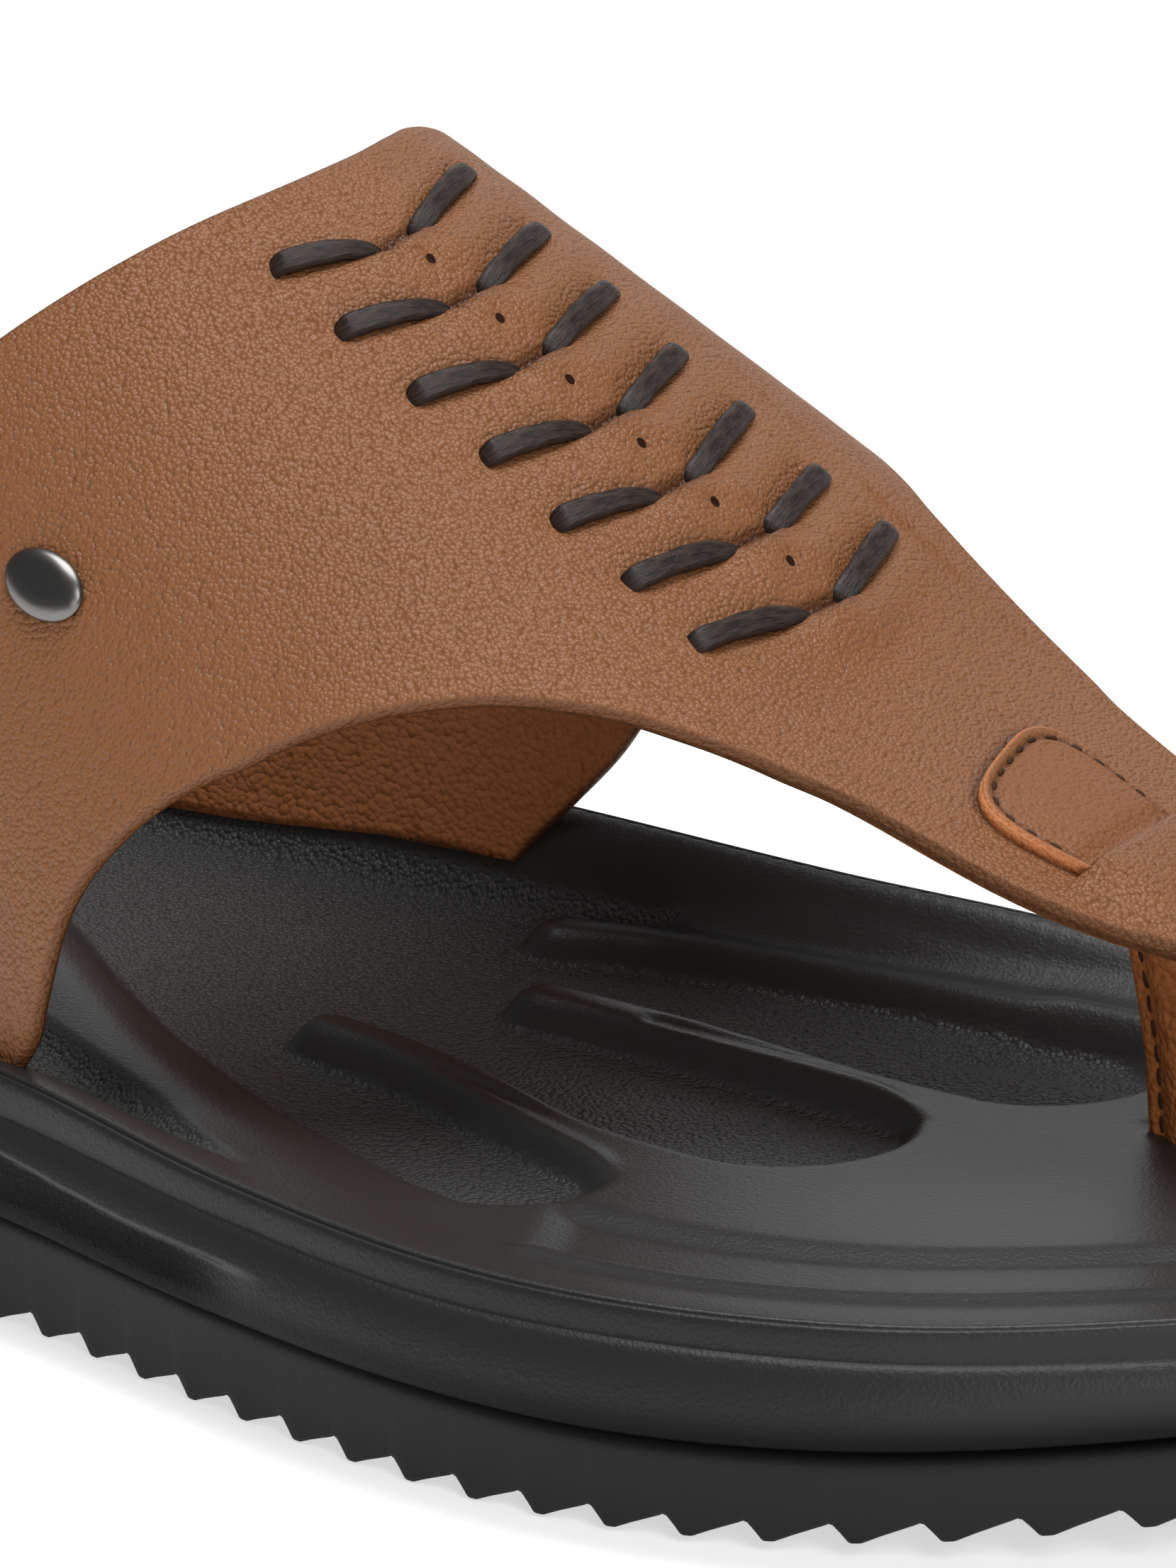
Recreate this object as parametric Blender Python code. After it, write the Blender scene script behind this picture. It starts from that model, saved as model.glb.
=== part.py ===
"""Leather thong slipper for the right foot, built from the pieces that a maker puts together.

Frame: +X to the toe, +Y to the inner (medial) side of the foot, +Z up, origin on the floor under
the middle of the sole. Sizes are in millimetres, and become metres when a mesh is made.
"""

import bmesh
import bpy
import numpy as np

MILLIMETRE = 0.001

# Driving dimensions
SOLE_LENGTH = 285.0
BALL_WIDTH = 109.5
INSTEP_HEIGHT = 100.0
TOE_SPRING = 9.8
HEEL_LIFT = 4.0
LEATHER = 2.0
GAP = 0.3

# Where the sole leaves the floor, at the toe and at the heel
SPRING_START = 45.0
HEEL_LIFT_START = -125.0

# Ripple tread: one tooth every TOOTH_PITCH from FIRST_TOOTH, flat on the floor for TOOTH_LAND
FIRST_TOOTH = -131.0
TOOTH_PITCH = 6.9
TOOTH_DEPTH = 1.8
TOOTH_LAND = 1.2
TOOTH_DROP = 1.5
TREAD_INSET = 5.0

# Footbed: its edge inside the outline, and the depth of the grained palm
FOOTBED_INSET = 4.0
PALM_DEPTH = 2.2
RIDGE_RISE = 2.6
RIDGE_HALF_WIDTH = 4.6
SOFT_EDGE = 3.6

# Stations from heel to toe on each side of the sole, and columns across the footbed
STATIONS = 56
FOOTBED_COLUMNS = 14
FOOTBED_RINGS = (6.0, 8.5, 11.0, 13.5)

# Upper: columns across the foot and rows from collar to front edge
UPPER_COLUMNS = 47
UPPER_ROWS = 15
LEG_TUCK = 9.6

# Bars of the lacing
LACE_WIDTH = 2.1
LACE_THICKNESS = 1.3
LACE_ARCH = 0.7


def table(columns, *rows):
    """Named columns of a short table."""
    return dict(zip(columns.split(), np.array(rows, float).T))


# Plan outline of the wall, from the heel round the lateral side to the toe and back along the
# medial side: along is in percent of SOLE_LENGTH, across in percent of BALL_WIDTH.
OUTLINE = table(
    "along across",
    (0, 0), (1.9, -18.3), (7.9, -30.1), (18.4, -35.6), (32.5, -37.9), (46.5, -42.0), (57.0, -47.0),
    (65.8, -49.3), (72.8, -47.5), (79.8, -41.1), (86.8, -29.2), (92.8, -15.5), (97.4, 0.5),
    (100, 20.1), (98.8, 34.7), (94.9, 44.3), (87.9, 49.3), (78.1, 50.7), (67.5, 48.9), (57.0, 45.2),
    (46.5, 42.0), (32.5, 38.4), (18.4, 36.1), (7.9, 30.1), (1.9, 18.3),
)
TOE_ROW = 13

# Heights of the sole's levels above the floor line, before toe spring
LEVELS = table(
    "x groove cradle bead rim_lateral rim_medial bed",
    (-142.5, 13.5, 18.0, 24.0, 28.5, 28.5, 25.5),
    (-90, 13.2, 17.5, 23.5, 27.5, 30.1, 23.3),
    (-50, 12.8, 17.0, 22.5, 26.3, 31.4, 23.3),
    (-10, 11.9, 16.0, 21.3, 25.0, 29.9, 21.8),
    (20, 11.0, 15.0, 19.8, 22.8, 27.9, 20.9),
    (45, 10.6, 14.5, 18.9, 21.9, 26.6, 20.7),
    (65, 10.0, 14.0, 18.5, 21.3, 24.8, 20.3),
    (100, 9.0, 12.4, 16.3, 19.2, 21.4, 18.7),
    (142.5, 8.5, 10.6, 13.2, 16.2, 16.6, 15.2),
)

# Side of the midsole from the undercut up: inset from the outline, the two levels that a row lies
# between, and its share of the way from the first to the second
WALL = (
    (6.5, "groove", "bead", 0.03),
    (1.8, "groove", "bead", 0.04),
    (0.25, "groove", "bead", 0.16),
    (0.0, "groove", "bead", 0.26),
    (0.28, "groove", "bead", 0.53),
    (0.95, "groove", "bead", 0.78),
    (1.9, "groove", "bead", 0.955),
    (2.62, "bead", "rim", 0.12),
    (2.96, "bead", "rim", 0.8),
    (3.3, "bead", "rim", 0.97),
    (3.7, "bead", "rim", 0.97),
    (3.7, "cradle", "groove", 0.05),
)

# Recesses of the footbed: round-ended slots from start to end, with a radius
PALM_SLOTS = table(
    "start_x start_y end_x end_y radius",
    (-60, 16, -6, 13, 28.0),
    (0, 24, 56, 28.3, 11.5),
    (0, 2, 46, 1, 12.0),
    (-15, -8, 34.5, -25, 8.5),
)

# Line that bounds the recesses on the lateral side
PALM_EDGE = table("x y", (-60, 14), (-39, 1), (-26, -8), (-15, -14.5), (4, -23.5), (24, -31), (40, -34))

# Crests of the smooth ridges between the finger recesses
RIDGES = (
    ((-1, 30.2), (5, 33.3), (12, 35.6), (19, 37.6), (30, 39.1), (41, 40.2), (57, 42.4), (72, 45)),
    ((9.5, 13.6), (16, 14), (25, 14.1), (34, 13.5), (43, 12.9), (56, 12.2)),
    ((-0.5, -6.4), (5, -6.8), (13.5, -8.3), (22, -10.9), (32, -14.3), (44, -17.9)),
)

# Ends of the lacing's bars, one chevron a row, from the collar to the toe
LACING = table(
    "lateral_outer_x lateral_outer_y lateral_inner_x lateral_inner_y"
    " medial_inner_x medial_inner_y medial_outer_x medial_outer_y",
    (-8.6, -4.3, -3.1, 5.2, -2.8, 9.4, -7.1, 23.0),
    (-0.4, -5.0, 4.6, 5.7, 4.7, 10.1, 1.0, 23.9),
    (7.9, -4.9, 12.2, 6.3, 12.1, 10.2, 8.5, 24.7),
    (15.8, -4.3, 19.5, 7.2, 19.8, 11.6, 16.0, 25.3),
    (23.7, -4.1, 27.3, 7.7, 27.2, 11.8, 22.8, 26.5),
    (31.3, -3.5, 34.0, 10.3, 33.7, 15.3, 30.4, 28.0),
    (38.3, -3.3, 41.3, 11.4, 41.1, 15.8, 36.7, 30.0),
)

# Sections of the last: the ridge of the instep, the half widths down to the footbed on each side,
# and the power of each side's curve (2 is an ellipse, higher is squarer). Ridge height is in
# percent of INSTEP_HEIGHT.
LAST = table(
    "x ridge_y ridge_z lateral medial lateral_power medial_power",
    (-90, 16.0, 121, 48.5, 25.0, 2.1, 2.5),
    (-45, 17.5, 115, 53.5, 26.0, 2.1, 2.4),
    (-22, 18.5, 105, 56.0, 28.0, 2.1, 2.3),
    (0, 19.0, 93, 58.0, 30.0, 2.1, 2.5),
    (28, 19.5, 74.4, 60.0, 36.5, 2.1, 2.85),
    (50, 19.5, 58.8, 62.0, 41.0, 2.2, 3.0),
    (72, 19.5, 48, 62.0, 41.0, 2.2, 2.88),
    (96, 19.5, 40, 60.0, 38.0, 2.2, 2.7),
)

# Edges of the upper: x at each share of the way round the section, lateral foot to medial foot
FRONT_EDGE = table(
    "round x",
    (0.0, -11.5), (0.012, -9.3), (0.03, -8.1), (0.068, -5.7), (0.13, 3.0), (0.187, 13.6),
    (0.241, 23.0), (0.299, 33.4), (0.342, 42.0), (0.375, 50.8), (0.397, 60.5), (0.408, 71.1),
    (0.419, 78.4), (0.435, 85.5), (0.452, 90.5), (0.475, 93.3), (0.5, 94.0), (0.5115, 93.3),
    (0.532, 90.5), (0.5497, 86.0), (0.5597, 79.0), (0.5645, 70.0), (0.569, 62.0), (0.577, 57.0),
    (0.589, 49.0), (0.603, 41.0), (0.64, 31.8), (0.72, 23.5), (0.82, 14.0), (0.92, 3.0),
    (0.97, -4.0), (1.0, -12.2),
)
COLLAR = table(
    "round x",
    (0.0, -72), (0.1, -57), (0.2, -37), (0.265, -27.5), (0.36, -17.5), (0.42, -13.7), (0.467, -12.7),
    (0.52, -13.8), (0.56, -14.3), (0.6, -15.0), (0.65, -18.0), (0.7, -23.0), (0.8, -39.0), (0.9, -57.0),
    (1.0, -72.0),
)

# Toe post: sections from the footbed up to the underside of the upper
POST = table(
    "share x y half_x half_y",
    (0.0, 80.6, 19.0, 6.0, 2.9),
    (0.3, 79.8, 18.9, 5.9, 2.8),
    (0.6, 78.6, 18.7, 6.2, 3.1),
    (1.0, 77.0, 18.4, 7.2, 4.6),
)
POST_SIDES = 14

# Tab: middle of the slit that it comes out of, middle of its round rear end, half width, power of
# its round plan, skew of its rear end and how much narrower it is at the slit
SLIT_MIDDLE = (73.75, 14.2)
TAB_REAR = (60.2, 13.4)
TAB_HALF_WIDTH = 10.4
TAB_THICKNESS = 1.5
TAB_POWER = 3.8
TAB_SKEW = 0.157
TAB_TAPER = 0.25

# Plain oval stud on the lateral side: place on the upper, half sizes and height
STUD_X = -14.2
STUD_ROUND = 0.184
STUD_HALF_LENGTH = 4.6
STUD_HALF_WIDTH = 3.1
STUD_HEIGHT = 1.5


def through(xs, ys, x):
    """Smooth curve through a table: cubic pieces that take their end slopes from the table."""
    x = np.clip(np.asarray(x, float), xs[0], xs[-1])
    slope = np.gradient(ys, xs)
    i = np.clip(np.searchsorted(xs, x) - 1, 0, len(xs) - 2)
    run = xs[i + 1] - xs[i]
    t = (x - xs[i]) / run
    ends = ys[i] * (1 + 2 * t) * (1 - t) ** 2 + ys[i + 1] * t * t * (3 - 2 * t)
    return ends + run * (slope[i] * t * (1 - t) ** 2 - slope[i + 1] * t * t * (1 - t))


def smooth_step(value):
    """0 below 0, 1 above 1, and an S-shaped rise between."""
    t = np.clip(value, 0.0, 1.0)
    return t * t * (3 - 2 * t)


def outline_points():
    """The outline's table in millimetres."""
    x = (OUTLINE["along"] / 100 - 0.5) * SOLE_LENGTH
    y = OUTLINE["across"] / 100 * BALL_WIDTH
    return np.stack([x, y], axis=1)


def outline_curve(side, share):
    """Points of the outline at shares of the way from heel to toe along one side."""
    points = outline_points()
    wrap = 4
    closed = np.vstack([points[-wrap:], points, points[: wrap + 1]])
    knots = np.concatenate([[0.0], np.cumsum(np.hypot(*np.diff(closed, axis=0).T))])
    heel = knots[wrap]
    toe = knots[wrap + TOE_ROW]
    back_at_heel = knots[wrap + len(points)]
    if side == "lateral":
        at = heel + (toe - heel) * share
    else:
        at = back_at_heel + (toe - back_at_heel) * share
    return np.stack([through(knots, closed[:, 0], at), through(knots, closed[:, 1], at)], axis=-1)


def edge(side, inset, share):
    """The outline moved inwards by inset, square to itself."""
    step = 1e-4
    ahead = outline_curve(side, np.clip(share + step, 0, 1))
    behind = outline_curve(side, np.clip(share - step, 0, 1))
    along = ahead - behind
    along /= np.linalg.norm(along, axis=-1)[..., None]
    turn = 1.0 if side == "lateral" else -1.0
    inward = turn * np.stack([-along[..., 1], along[..., 0]], axis=-1)
    return outline_curve(side, share) + inset * inward


def lift(x):
    """How far the sole's underside rises off the floor at the toe and at the heel."""
    toe = np.clip((x - SPRING_START) / (SOLE_LENGTH / 2 - SPRING_START), 0, None)
    heel = np.clip((HEEL_LIFT_START - x) / (SOLE_LENGTH / 2 + HEEL_LIFT_START), 0, None)
    return TOE_SPRING * toe ** 2 + HEEL_LIFT * heel ** 2


def level(name, x, y):
    """Height of one of the sole's levels. The rim goes from its lateral to its medial height."""
    if name == "rim":
        lateral = through(LEVELS["x"], LEVELS["rim_lateral"], x)
        medial = through(LEVELS["x"], LEVELS["rim_medial"], x)
        height = lateral + (medial - lateral) * smooth_step((y + 40) / 80)
    else:
        height = through(LEVELS["x"], LEVELS[name], x)
    return height + lift(x)


def wall_height(row, x, y):
    """Height of one row of the wall: its share of the way between its two levels."""
    _, first, second, share = row
    start = level(first, x, y)
    return start + share * (level(second, x, y) - start)


def inset_of(x, y):
    """How far a point lies inside the footbed's edge."""
    share = np.linspace(0, 1, 200)
    ring = np.vstack([edge("lateral", FOOTBED_INSET, share), edge("medial", FOOTBED_INSET, share)])
    away = np.hypot(x[..., None] - ring[:, 0], y[..., None] - ring[:, 1])
    return away.min(axis=-1)


def from_segment(x, y, start, end):
    """Distance of points from a straight segment."""
    run = np.subtract(end, start)
    t = np.clip(((x - start[0]) * run[0] + (y - start[1]) * run[1]) / (run @ run), 0, 1)
    return np.hypot(x - start[0] - t * run[0], y - start[1] - t * run[1])


def palm_share(x, y):
    """1 on the floor of the palm and its fingers, 0 outside, with a soft edge.

    The slots are bounded by the line on the lateral side and by the rim's slope.
    """
    rows = zip(*PALM_SLOTS.values())
    slots = [radius - from_segment(x, y, (sx, sy), (ex, ey)) for sx, sy, ex, ey, radius in rows]
    lateral = (y - np.interp(x, PALM_EDGE["x"], PALM_EDGE["y"])) * 0.9
    inside = np.minimum(np.max(slots, axis=0), np.minimum(lateral, inset_of(x, y) - 4.2))
    return smooth_step(inside / SOFT_EDGE + 0.5)


def ridge_share(x, y):
    """1 along the crests of the ridges, falling to 0 at their half width."""
    pairs = [pair for crest in RIDGES for pair in zip(crest[:-1], crest[1:])]
    away = np.min([from_segment(x, y, start, end) for start, end in pairs], axis=0)
    return smooth_step(1 - away / RIDGE_HALF_WIDTH)


def footbed_height(x, y):
    """Top of the footbed: a bed that curves up to the rim, with the palm sunk into it."""
    rim_run = 11.0 - 3.5 * smooth_step((y + 40) / 80)
    bed = level("bed", x, y)
    slope_up = 1 - smooth_step(inset_of(x, y) / rim_run)
    palm = palm_share(x, y)
    relief = palm * (RIDGE_RISE * ridge_share(x, y) - PALM_DEPTH)
    return bed + (level("rim", x, y) - bed) * slope_up + relief


def foot_height(x, y):
    """Height of a leg's foot: clear of the footbed under the whole thickness of the leather."""
    under = [footbed_height(x, y + side) for side in (-0.75 * LEATHER, 0.0, 0.75 * LEATHER)]
    return np.max(under, axis=0) + 2 * GAP


def last_section(x, round_share):
    """Points of the last: x along the foot, round_share from the lateral foot (0) to the medial (1).

    Each side is a superellipse from the footbed up to the ridge. Near its foot the medial side is
    tucked in by LEG_TUCK, towards the leg's place on the footbed.
    """
    row = {name: through(LAST["x"], LAST[name], x) for name in LAST}
    cosine = np.cos(np.pi * round_share)
    sine = np.abs(np.sin(np.pi * round_share))
    lateral = cosine > 0
    power = 2 / np.where(lateral, row["lateral_power"], row["medial_power"])
    rise = sine ** power
    reach = np.where(lateral, -row["lateral"], row["medial"])
    tuck = np.where(lateral, 0.0, LEG_TUCK)
    y = row["ridge_y"] + reach * np.abs(cosine) ** power - tuck * (1 - rise) ** 2
    foot_y = row["ridge_y"] + reach - tuck
    foot_z = foot_height(x, foot_y)
    ridge_z = row["ridge_z"] / 100 * INSTEP_HEIGHT
    return np.stack([x, y, foot_z + (ridge_z - foot_z) * rise], axis=-1)


def top_height(x, y):
    """Height of the last's skin over a point near the ridge, where the side's tuck is nothing."""
    row = {name: through(LAST["x"], LAST[name], x) for name in LAST}
    off = y - row["ridge_y"]
    lateral = off < 0
    power = np.where(lateral, row["lateral_power"], row["medial_power"])
    reach = np.where(lateral, row["lateral"], row["medial"])
    foot_y = row["ridge_y"] + np.where(lateral, -reach, reach - LEG_TUCK)
    foot_z = foot_height(x, foot_y)
    ridge_z = row["ridge_z"] / 100 * INSTEP_HEIGHT
    return foot_z + (ridge_z - foot_z) * (1 - np.abs(off / reach) ** power) ** (1 / power)


def above_upper(x, y, height):
    """Points at a height off the middle of the upper's wall, square to it."""
    step = 0.2
    slope_x = (top_height(x + step, y) - top_height(x - step, y)) / (2 * step)
    slope_y = (top_height(x, y + step) - top_height(x, y - step)) / (2 * step)
    normal = np.stack([-slope_x, -slope_y, np.ones_like(slope_x)], axis=-1)
    normal /= np.linalg.norm(normal, axis=-1)[..., None]
    points = np.stack([x, y, top_height(x, y)], axis=-1)
    return points + normal * np.asarray(height)[..., None]


def upper_columns(count):
    """Shares round the section, spaced evenly along the front edge and the collar taken together."""
    share = np.linspace(0, 1, 600)
    travelled = np.zeros(len(share))
    for edge_table in (FRONT_EDGE, COLLAR):
        x = through(edge_table["round"], edge_table["x"], share)
        steps = np.linalg.norm(np.diff(last_section(x, share), axis=0), axis=1)
        length = np.concatenate([[0.0], np.cumsum(steps)])
        travelled += length / length[-1]
    return np.interp(np.linspace(0, travelled[-1], count), travelled, share)


def upper_skin():
    """Middle of the upper's wall, as rows from collar to front edge for each column round the foot."""
    share = upper_columns(UPPER_COLUMNS)
    front = through(FRONT_EDGE["round"], FRONT_EDGE["x"], share)
    collar = through(COLLAR["round"], COLLAR["x"], share)
    rows = np.linspace(0, 1, UPPER_ROWS)
    x = collar[:, None] + (front - collar)[:, None] * rows
    return last_section(x, np.broadcast_to(share[:, None], x.shape))


def grid_normals(grid):
    """Unit normals of a grid of points, from its differences along rows and columns."""
    along = np.gradient(grid, axis=1)
    across = np.gradient(grid, axis=0)
    normal = np.cross(along, across)
    return normal / np.linalg.norm(normal, axis=-1)[..., None]


def material(name, colour, roughness, metallic=0.0):
    """A Principled material with one colour."""
    made = bpy.data.materials.new(name)
    made.use_nodes = True
    shader = made.node_tree.nodes["Principled BSDF"]
    shader.inputs["Base Color"].default_value = (*colour, 1.0)
    shader.inputs["Roughness"].default_value = roughness
    shader.inputs["Metallic"].default_value = metallic
    return made


def frame_middle():
    """Middle of the sole's length and width, which the frame's origin lies under."""
    ring = ring_at(0.0)
    middle = (ring.min(axis=0) + ring.max(axis=0)) / 2
    return np.array([*middle, 0.0])


def add_piece(name, points, faces, finish):
    """One closed, smooth-shaded mesh object with its finish."""
    mesh = bpy.data.meshes.new(name)
    vertices = ((np.asarray(points).reshape(-1, 3) - frame_middle()) * MILLIMETRE).tolist()
    mesh.from_pydata(vertices, [], [tuple(int(i) for i in face) for face in faces])
    mesh.validate()
    shell = bmesh.new()
    shell.from_mesh(mesh)
    bmesh.ops.recalc_face_normals(shell, faces=shell.faces)
    shell.to_mesh(mesh)
    shell.free()
    mesh.shade_smooth()
    mesh.set_sharp_from_angle(angle=np.radians(35))
    mesh.materials.append(finish)
    piece = bpy.data.objects.new(name, mesh)
    bpy.context.scene.collection.objects.link(piece)
    return piece


def grid_faces(rows, columns, first=0, flip=False):
    """Four-sided faces of a rows by columns grid of points."""
    i, j = np.meshgrid(np.arange(rows - 1), np.arange(columns - 1), indexing="ij")
    corner = (first + i * columns + j).ravel()
    faces = np.stack([corner, corner + columns, corner + columns + 1, corner + 1], axis=1)
    return faces[:, ::-1] if flip else faces


def slab_faces(rows, columns):
    """Faces of two like grids, outer then inner, joined all round their borders."""
    size = rows * columns
    index = np.arange(size).reshape(rows, columns)
    border = np.concatenate([index[0, :-1], index[:-1, -1], index[-1, :0:-1], index[:0:-1, 0]])
    after = np.roll(border, -1)
    rim = np.stack([border, after, after + size, border + size], axis=1)
    outer = grid_faces(rows, columns)
    inner = grid_faces(rows, columns, first=size, flip=True)
    return np.vstack([outer, inner, rim])


def tube_faces(sections, sides):
    """Faces of closed sections joined one after another, with both ends capped."""
    ring = np.arange(sides)
    after = np.roll(ring, -1)
    faces = []
    for k in range(sections - 1):
        low = k * sides
        faces += [(low + a, low + b, low + sides + b, low + sides + a) for a, b in zip(ring, after)]
    faces.append(tuple(ring[::-1]))
    faces.append(tuple((sections - 1) * sides + ring))
    return faces


def ring_at(inset):
    """The outline at an inset as one closed ring: lateral side heel to toe, medial side back."""
    share = np.linspace(0, 1, STATIONS)
    lateral = edge("lateral", inset, share)
    medial = edge("medial", inset, share[1:-1])
    return np.vstack([lateral, medial[::-1]])


def fill_faces(ring_first, inner_first, columns, flip):
    """Faces that fill a ring: columns of points between facing stations, triangles at the ends."""
    def row(station):
        if station in (0, STATIONS - 1):
            return [ring_first + station]
        inside = inner_first + (station - 1) * columns + np.arange(columns)
        return [ring_first + station, *inside, ring_first + 2 * STATIONS - 2 - station]

    faces = []
    for station in range(STATIONS - 1):
        a = row(station)
        b = row(station + 1)
        if len(a) == 1:
            faces += [(a[0], b[k + 1], b[k]) for k in range(len(b) - 1)]
        elif len(b) == 1:
            faces += [(a[k], a[k + 1], b[0]) for k in range(len(a) - 1)]
        else:
            faces += [(a[k], a[k + 1], b[k + 1], b[k]) for k in range(len(a) - 1)]
    return [face[::-1] for face in faces] if flip else faces


def add_sole_layer(name, rings, floor, top, columns, finish):
    """A layer of the sole: rings from its underside up, the underside filled flat, the top by columns.

    floor and top give a height for points inside the first and the last ring.
    """
    count = 2 * STATIONS - 2
    last_ring = (len(rings) - 1) * count
    points = [np.vstack(rings)]
    faces = []
    ring = np.arange(count)
    after = np.roll(ring, -1)
    for k in range(len(rings) - 1):
        low = k * count
        wall = np.stack([low + ring, low + after, low + count + after, low + count + ring], axis=1)
        faces += wall.tolist()
    total = len(rings) * count
    for first, inner_columns, height, flip in ((0, 1, floor, False), (last_ring, columns, top, True)):
        edge_ring = points[0][first:first + count]
        lateral = edge_ring[1:STATIONS - 1, None, :2]
        medial = edge_ring[:STATIONS - 1:-1, None, :2]
        across = (np.arange(inner_columns) + 1.0)[None, :, None] / (inner_columns + 1)
        inside = lateral + (medial - lateral) * across
        inside_z = height(inside[..., 0], inside[..., 1])
        points.append(np.concatenate([inside, inside_z[..., None]], axis=2).reshape(-1, 3))
        faces += fill_faces(first, total, inner_columns, flip)
        total += inside_z.size
    return add_piece(name, np.vstack(points), faces, finish)


def add_outsole(finish):
    """Tread: square-cut saw teeth from heel to toe, under a top that follows the groove level."""
    share = np.linspace(0, 1, 900)
    lateral = edge("lateral", TREAD_INSET, share)
    medial = edge("medial", TREAD_INSET, share)
    heel_x = lateral[0, 0] + 0.4
    toe_x = lateral[-1, 0] - 0.4
    teeth = np.arange(FIRST_TOOTH, toe_x - TOOTH_DROP - TOOTH_LAND, TOOTH_PITCH)
    rise = TOOTH_PITCH - TOOTH_LAND - TOOTH_DROP
    tooth_x = teeth[:, None] + np.array([0, TOOTH_LAND, TOOTH_LAND + rise])
    tooth_z = np.broadcast_to([0.0, 0.0, TOOTH_DEPTH], tooth_x.shape)
    inside = tooth_x.ravel() < toe_x - 0.6
    x = np.concatenate([[heel_x], tooth_x.ravel()[inside], [toe_x]])
    z = np.concatenate([[TOOTH_DEPTH * 0.4], tooth_z.ravel()[inside], [TOOTH_DEPTH * 0.6]]) + lift(x)
    left = np.interp(x, lateral[:, 0], lateral[:, 1])
    right = np.interp(x, medial[:, 0], medial[:, 1])
    shoulder = 1.2
    top = level("groove", x, 0 * x) - GAP / 2
    corners = (
        (left, z), (right, z), (right, top - shoulder), (right - shoulder, top),
        (left + shoulder, top), (left, top - shoulder),
    )
    sections = np.stack([np.stack([x, y, height], axis=1) for y, height in corners], axis=1)
    add_piece("outsole", sections, tube_faces(len(x), len(corners)), finish)


def add_midsole(finish):
    """Moulded wall: rings from the undercut over the bead to the rim, then down into a cradle."""
    rings = []
    for row in WALL:
        ring = ring_at(row[0])
        rings.append(np.column_stack([ring, wall_height(row, *ring.T)]))
    add_sole_layer(
        "midsole", rings,
        floor=lambda x, y: wall_height(WALL[0], x, y),
        top=lambda x, y: wall_height(WALL[-1], x, y),
        columns=1, finish=finish,
    )


def add_footbed(finish):
    """Insole: straight sides in the cradle, and a moulded top."""
    outer = ring_at(FOOTBED_INSET)
    rings = [np.column_stack([outer, level("cradle", *outer.T) + GAP / 2])]
    rings.append(np.column_stack([outer, level("rim", *outer.T)]))
    for inset in FOOTBED_RINGS:
        ring = ring_at(inset)
        rings.append(np.column_stack([ring, footbed_height(*ring.T)]))
    add_sole_layer(
        "footbed", rings,
        floor=lambda x, y: level("cradle", x, y) + GAP / 2,
        top=footbed_height, columns=FOOTBED_COLUMNS, finish=finish,
    )


def add_upper(finish):
    """Vamp: one wall of leather that follows the last between collar and front edge."""
    skin = upper_skin()
    out = grid_normals(skin) * LEATHER / 2
    walls = np.stack([skin + out, skin - out])
    add_piece("upper", walls, slab_faces(UPPER_COLUMNS, UPPER_ROWS), finish)


def add_toe_post(finish):
    """Folded strap: rounded sections from the footbed to the underside of the upper."""
    turn = np.linspace(0, 2 * np.pi, POST_SIDES, endpoint=False)
    square = 0.75
    unit_x = np.sign(np.cos(turn)) * np.abs(np.cos(turn)) ** square
    unit_y = np.sign(np.sin(turn)) * np.abs(np.sin(turn)) ** square
    share = np.linspace(0, 1, 7)[:, None]
    row = {name: through(POST["share"], POST[name], share) for name in POST}
    x = row["x"] + row["half_x"] * unit_x
    y = row["y"] + row["half_y"] * unit_y
    low = footbed_height(x, y) + GAP
    high = above_upper(x, y, np.full(x.shape, -LEATHER / 2 - 2 * GAP))[..., 2]
    sections = np.stack([x, y, low + (high - low) * share], axis=-1)
    add_piece("toe_post", sections, tube_faces(len(sections), POST_SIDES), finish)


def add_post_tab(finish):
    """End of the post strap, lying on the upper behind the slit: half a superellipse in plan.

    Its rear end is skewed towards the medial side, and it is narrower at the slit.
    """
    rows = 9
    columns = 8
    along = np.linspace(0, 1, rows)[:, None]
    across = np.linspace(-1, 1, columns)[None, :]
    length = np.subtract(TAB_REAR, SLIT_MIDDLE)
    forward = length / np.linalg.norm(length)
    side = np.array([-forward[1], forward[0]])
    aside = across * (1 - np.clip(along, 0, 0.985) ** TAB_POWER) ** (1 / TAB_POWER)
    behind = along * (1 - TAB_SKEW * aside)
    beside = aside * TAB_HALF_WIDTH * (1 - TAB_TAPER * (1 - along))
    x = SLIT_MIDDLE[0] + behind * length[0] + beside * side[0]
    y = SLIT_MIDDLE[1] + behind * length[1] + beside * side[1]
    low = LEATHER / 2 + GAP
    bottom = above_upper(x, y, np.full(x.shape, low))
    top = above_upper(x, y, np.full(x.shape, low + TAB_THICKNESS))
    add_piece("post_tab", np.stack([top, bottom]), slab_faces(rows, columns), finish)


def add_lace_bar(name, start, end, finish):
    """One flat bar of lacing, arched a little off the leather between its two holes."""
    stations = 7
    share = np.linspace(0, 1, stations)[:, None]
    run = np.subtract(end, start)
    side = np.array([-run[1], run[0]]) / np.linalg.norm(run)
    turn = np.linspace(0, 2 * np.pi, 6, endpoint=False)[::-1]
    across = np.cos(turn)[None, :] * LACE_WIDTH / 2
    x = start[0] + share * run[0] + across * side[0]
    y = start[1] + share * run[1] + across * side[1]
    arch = LACE_ARCH * np.sin(np.pi * share)
    middle = LEATHER / 2 + GAP + LACE_THICKNESS / 2
    height = middle + arch + np.sin(turn)[None, :] * LACE_THICKNESS / 2
    add_piece(name, above_upper(x, y, height), tube_faces(stations, len(turn)), finish)


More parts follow.
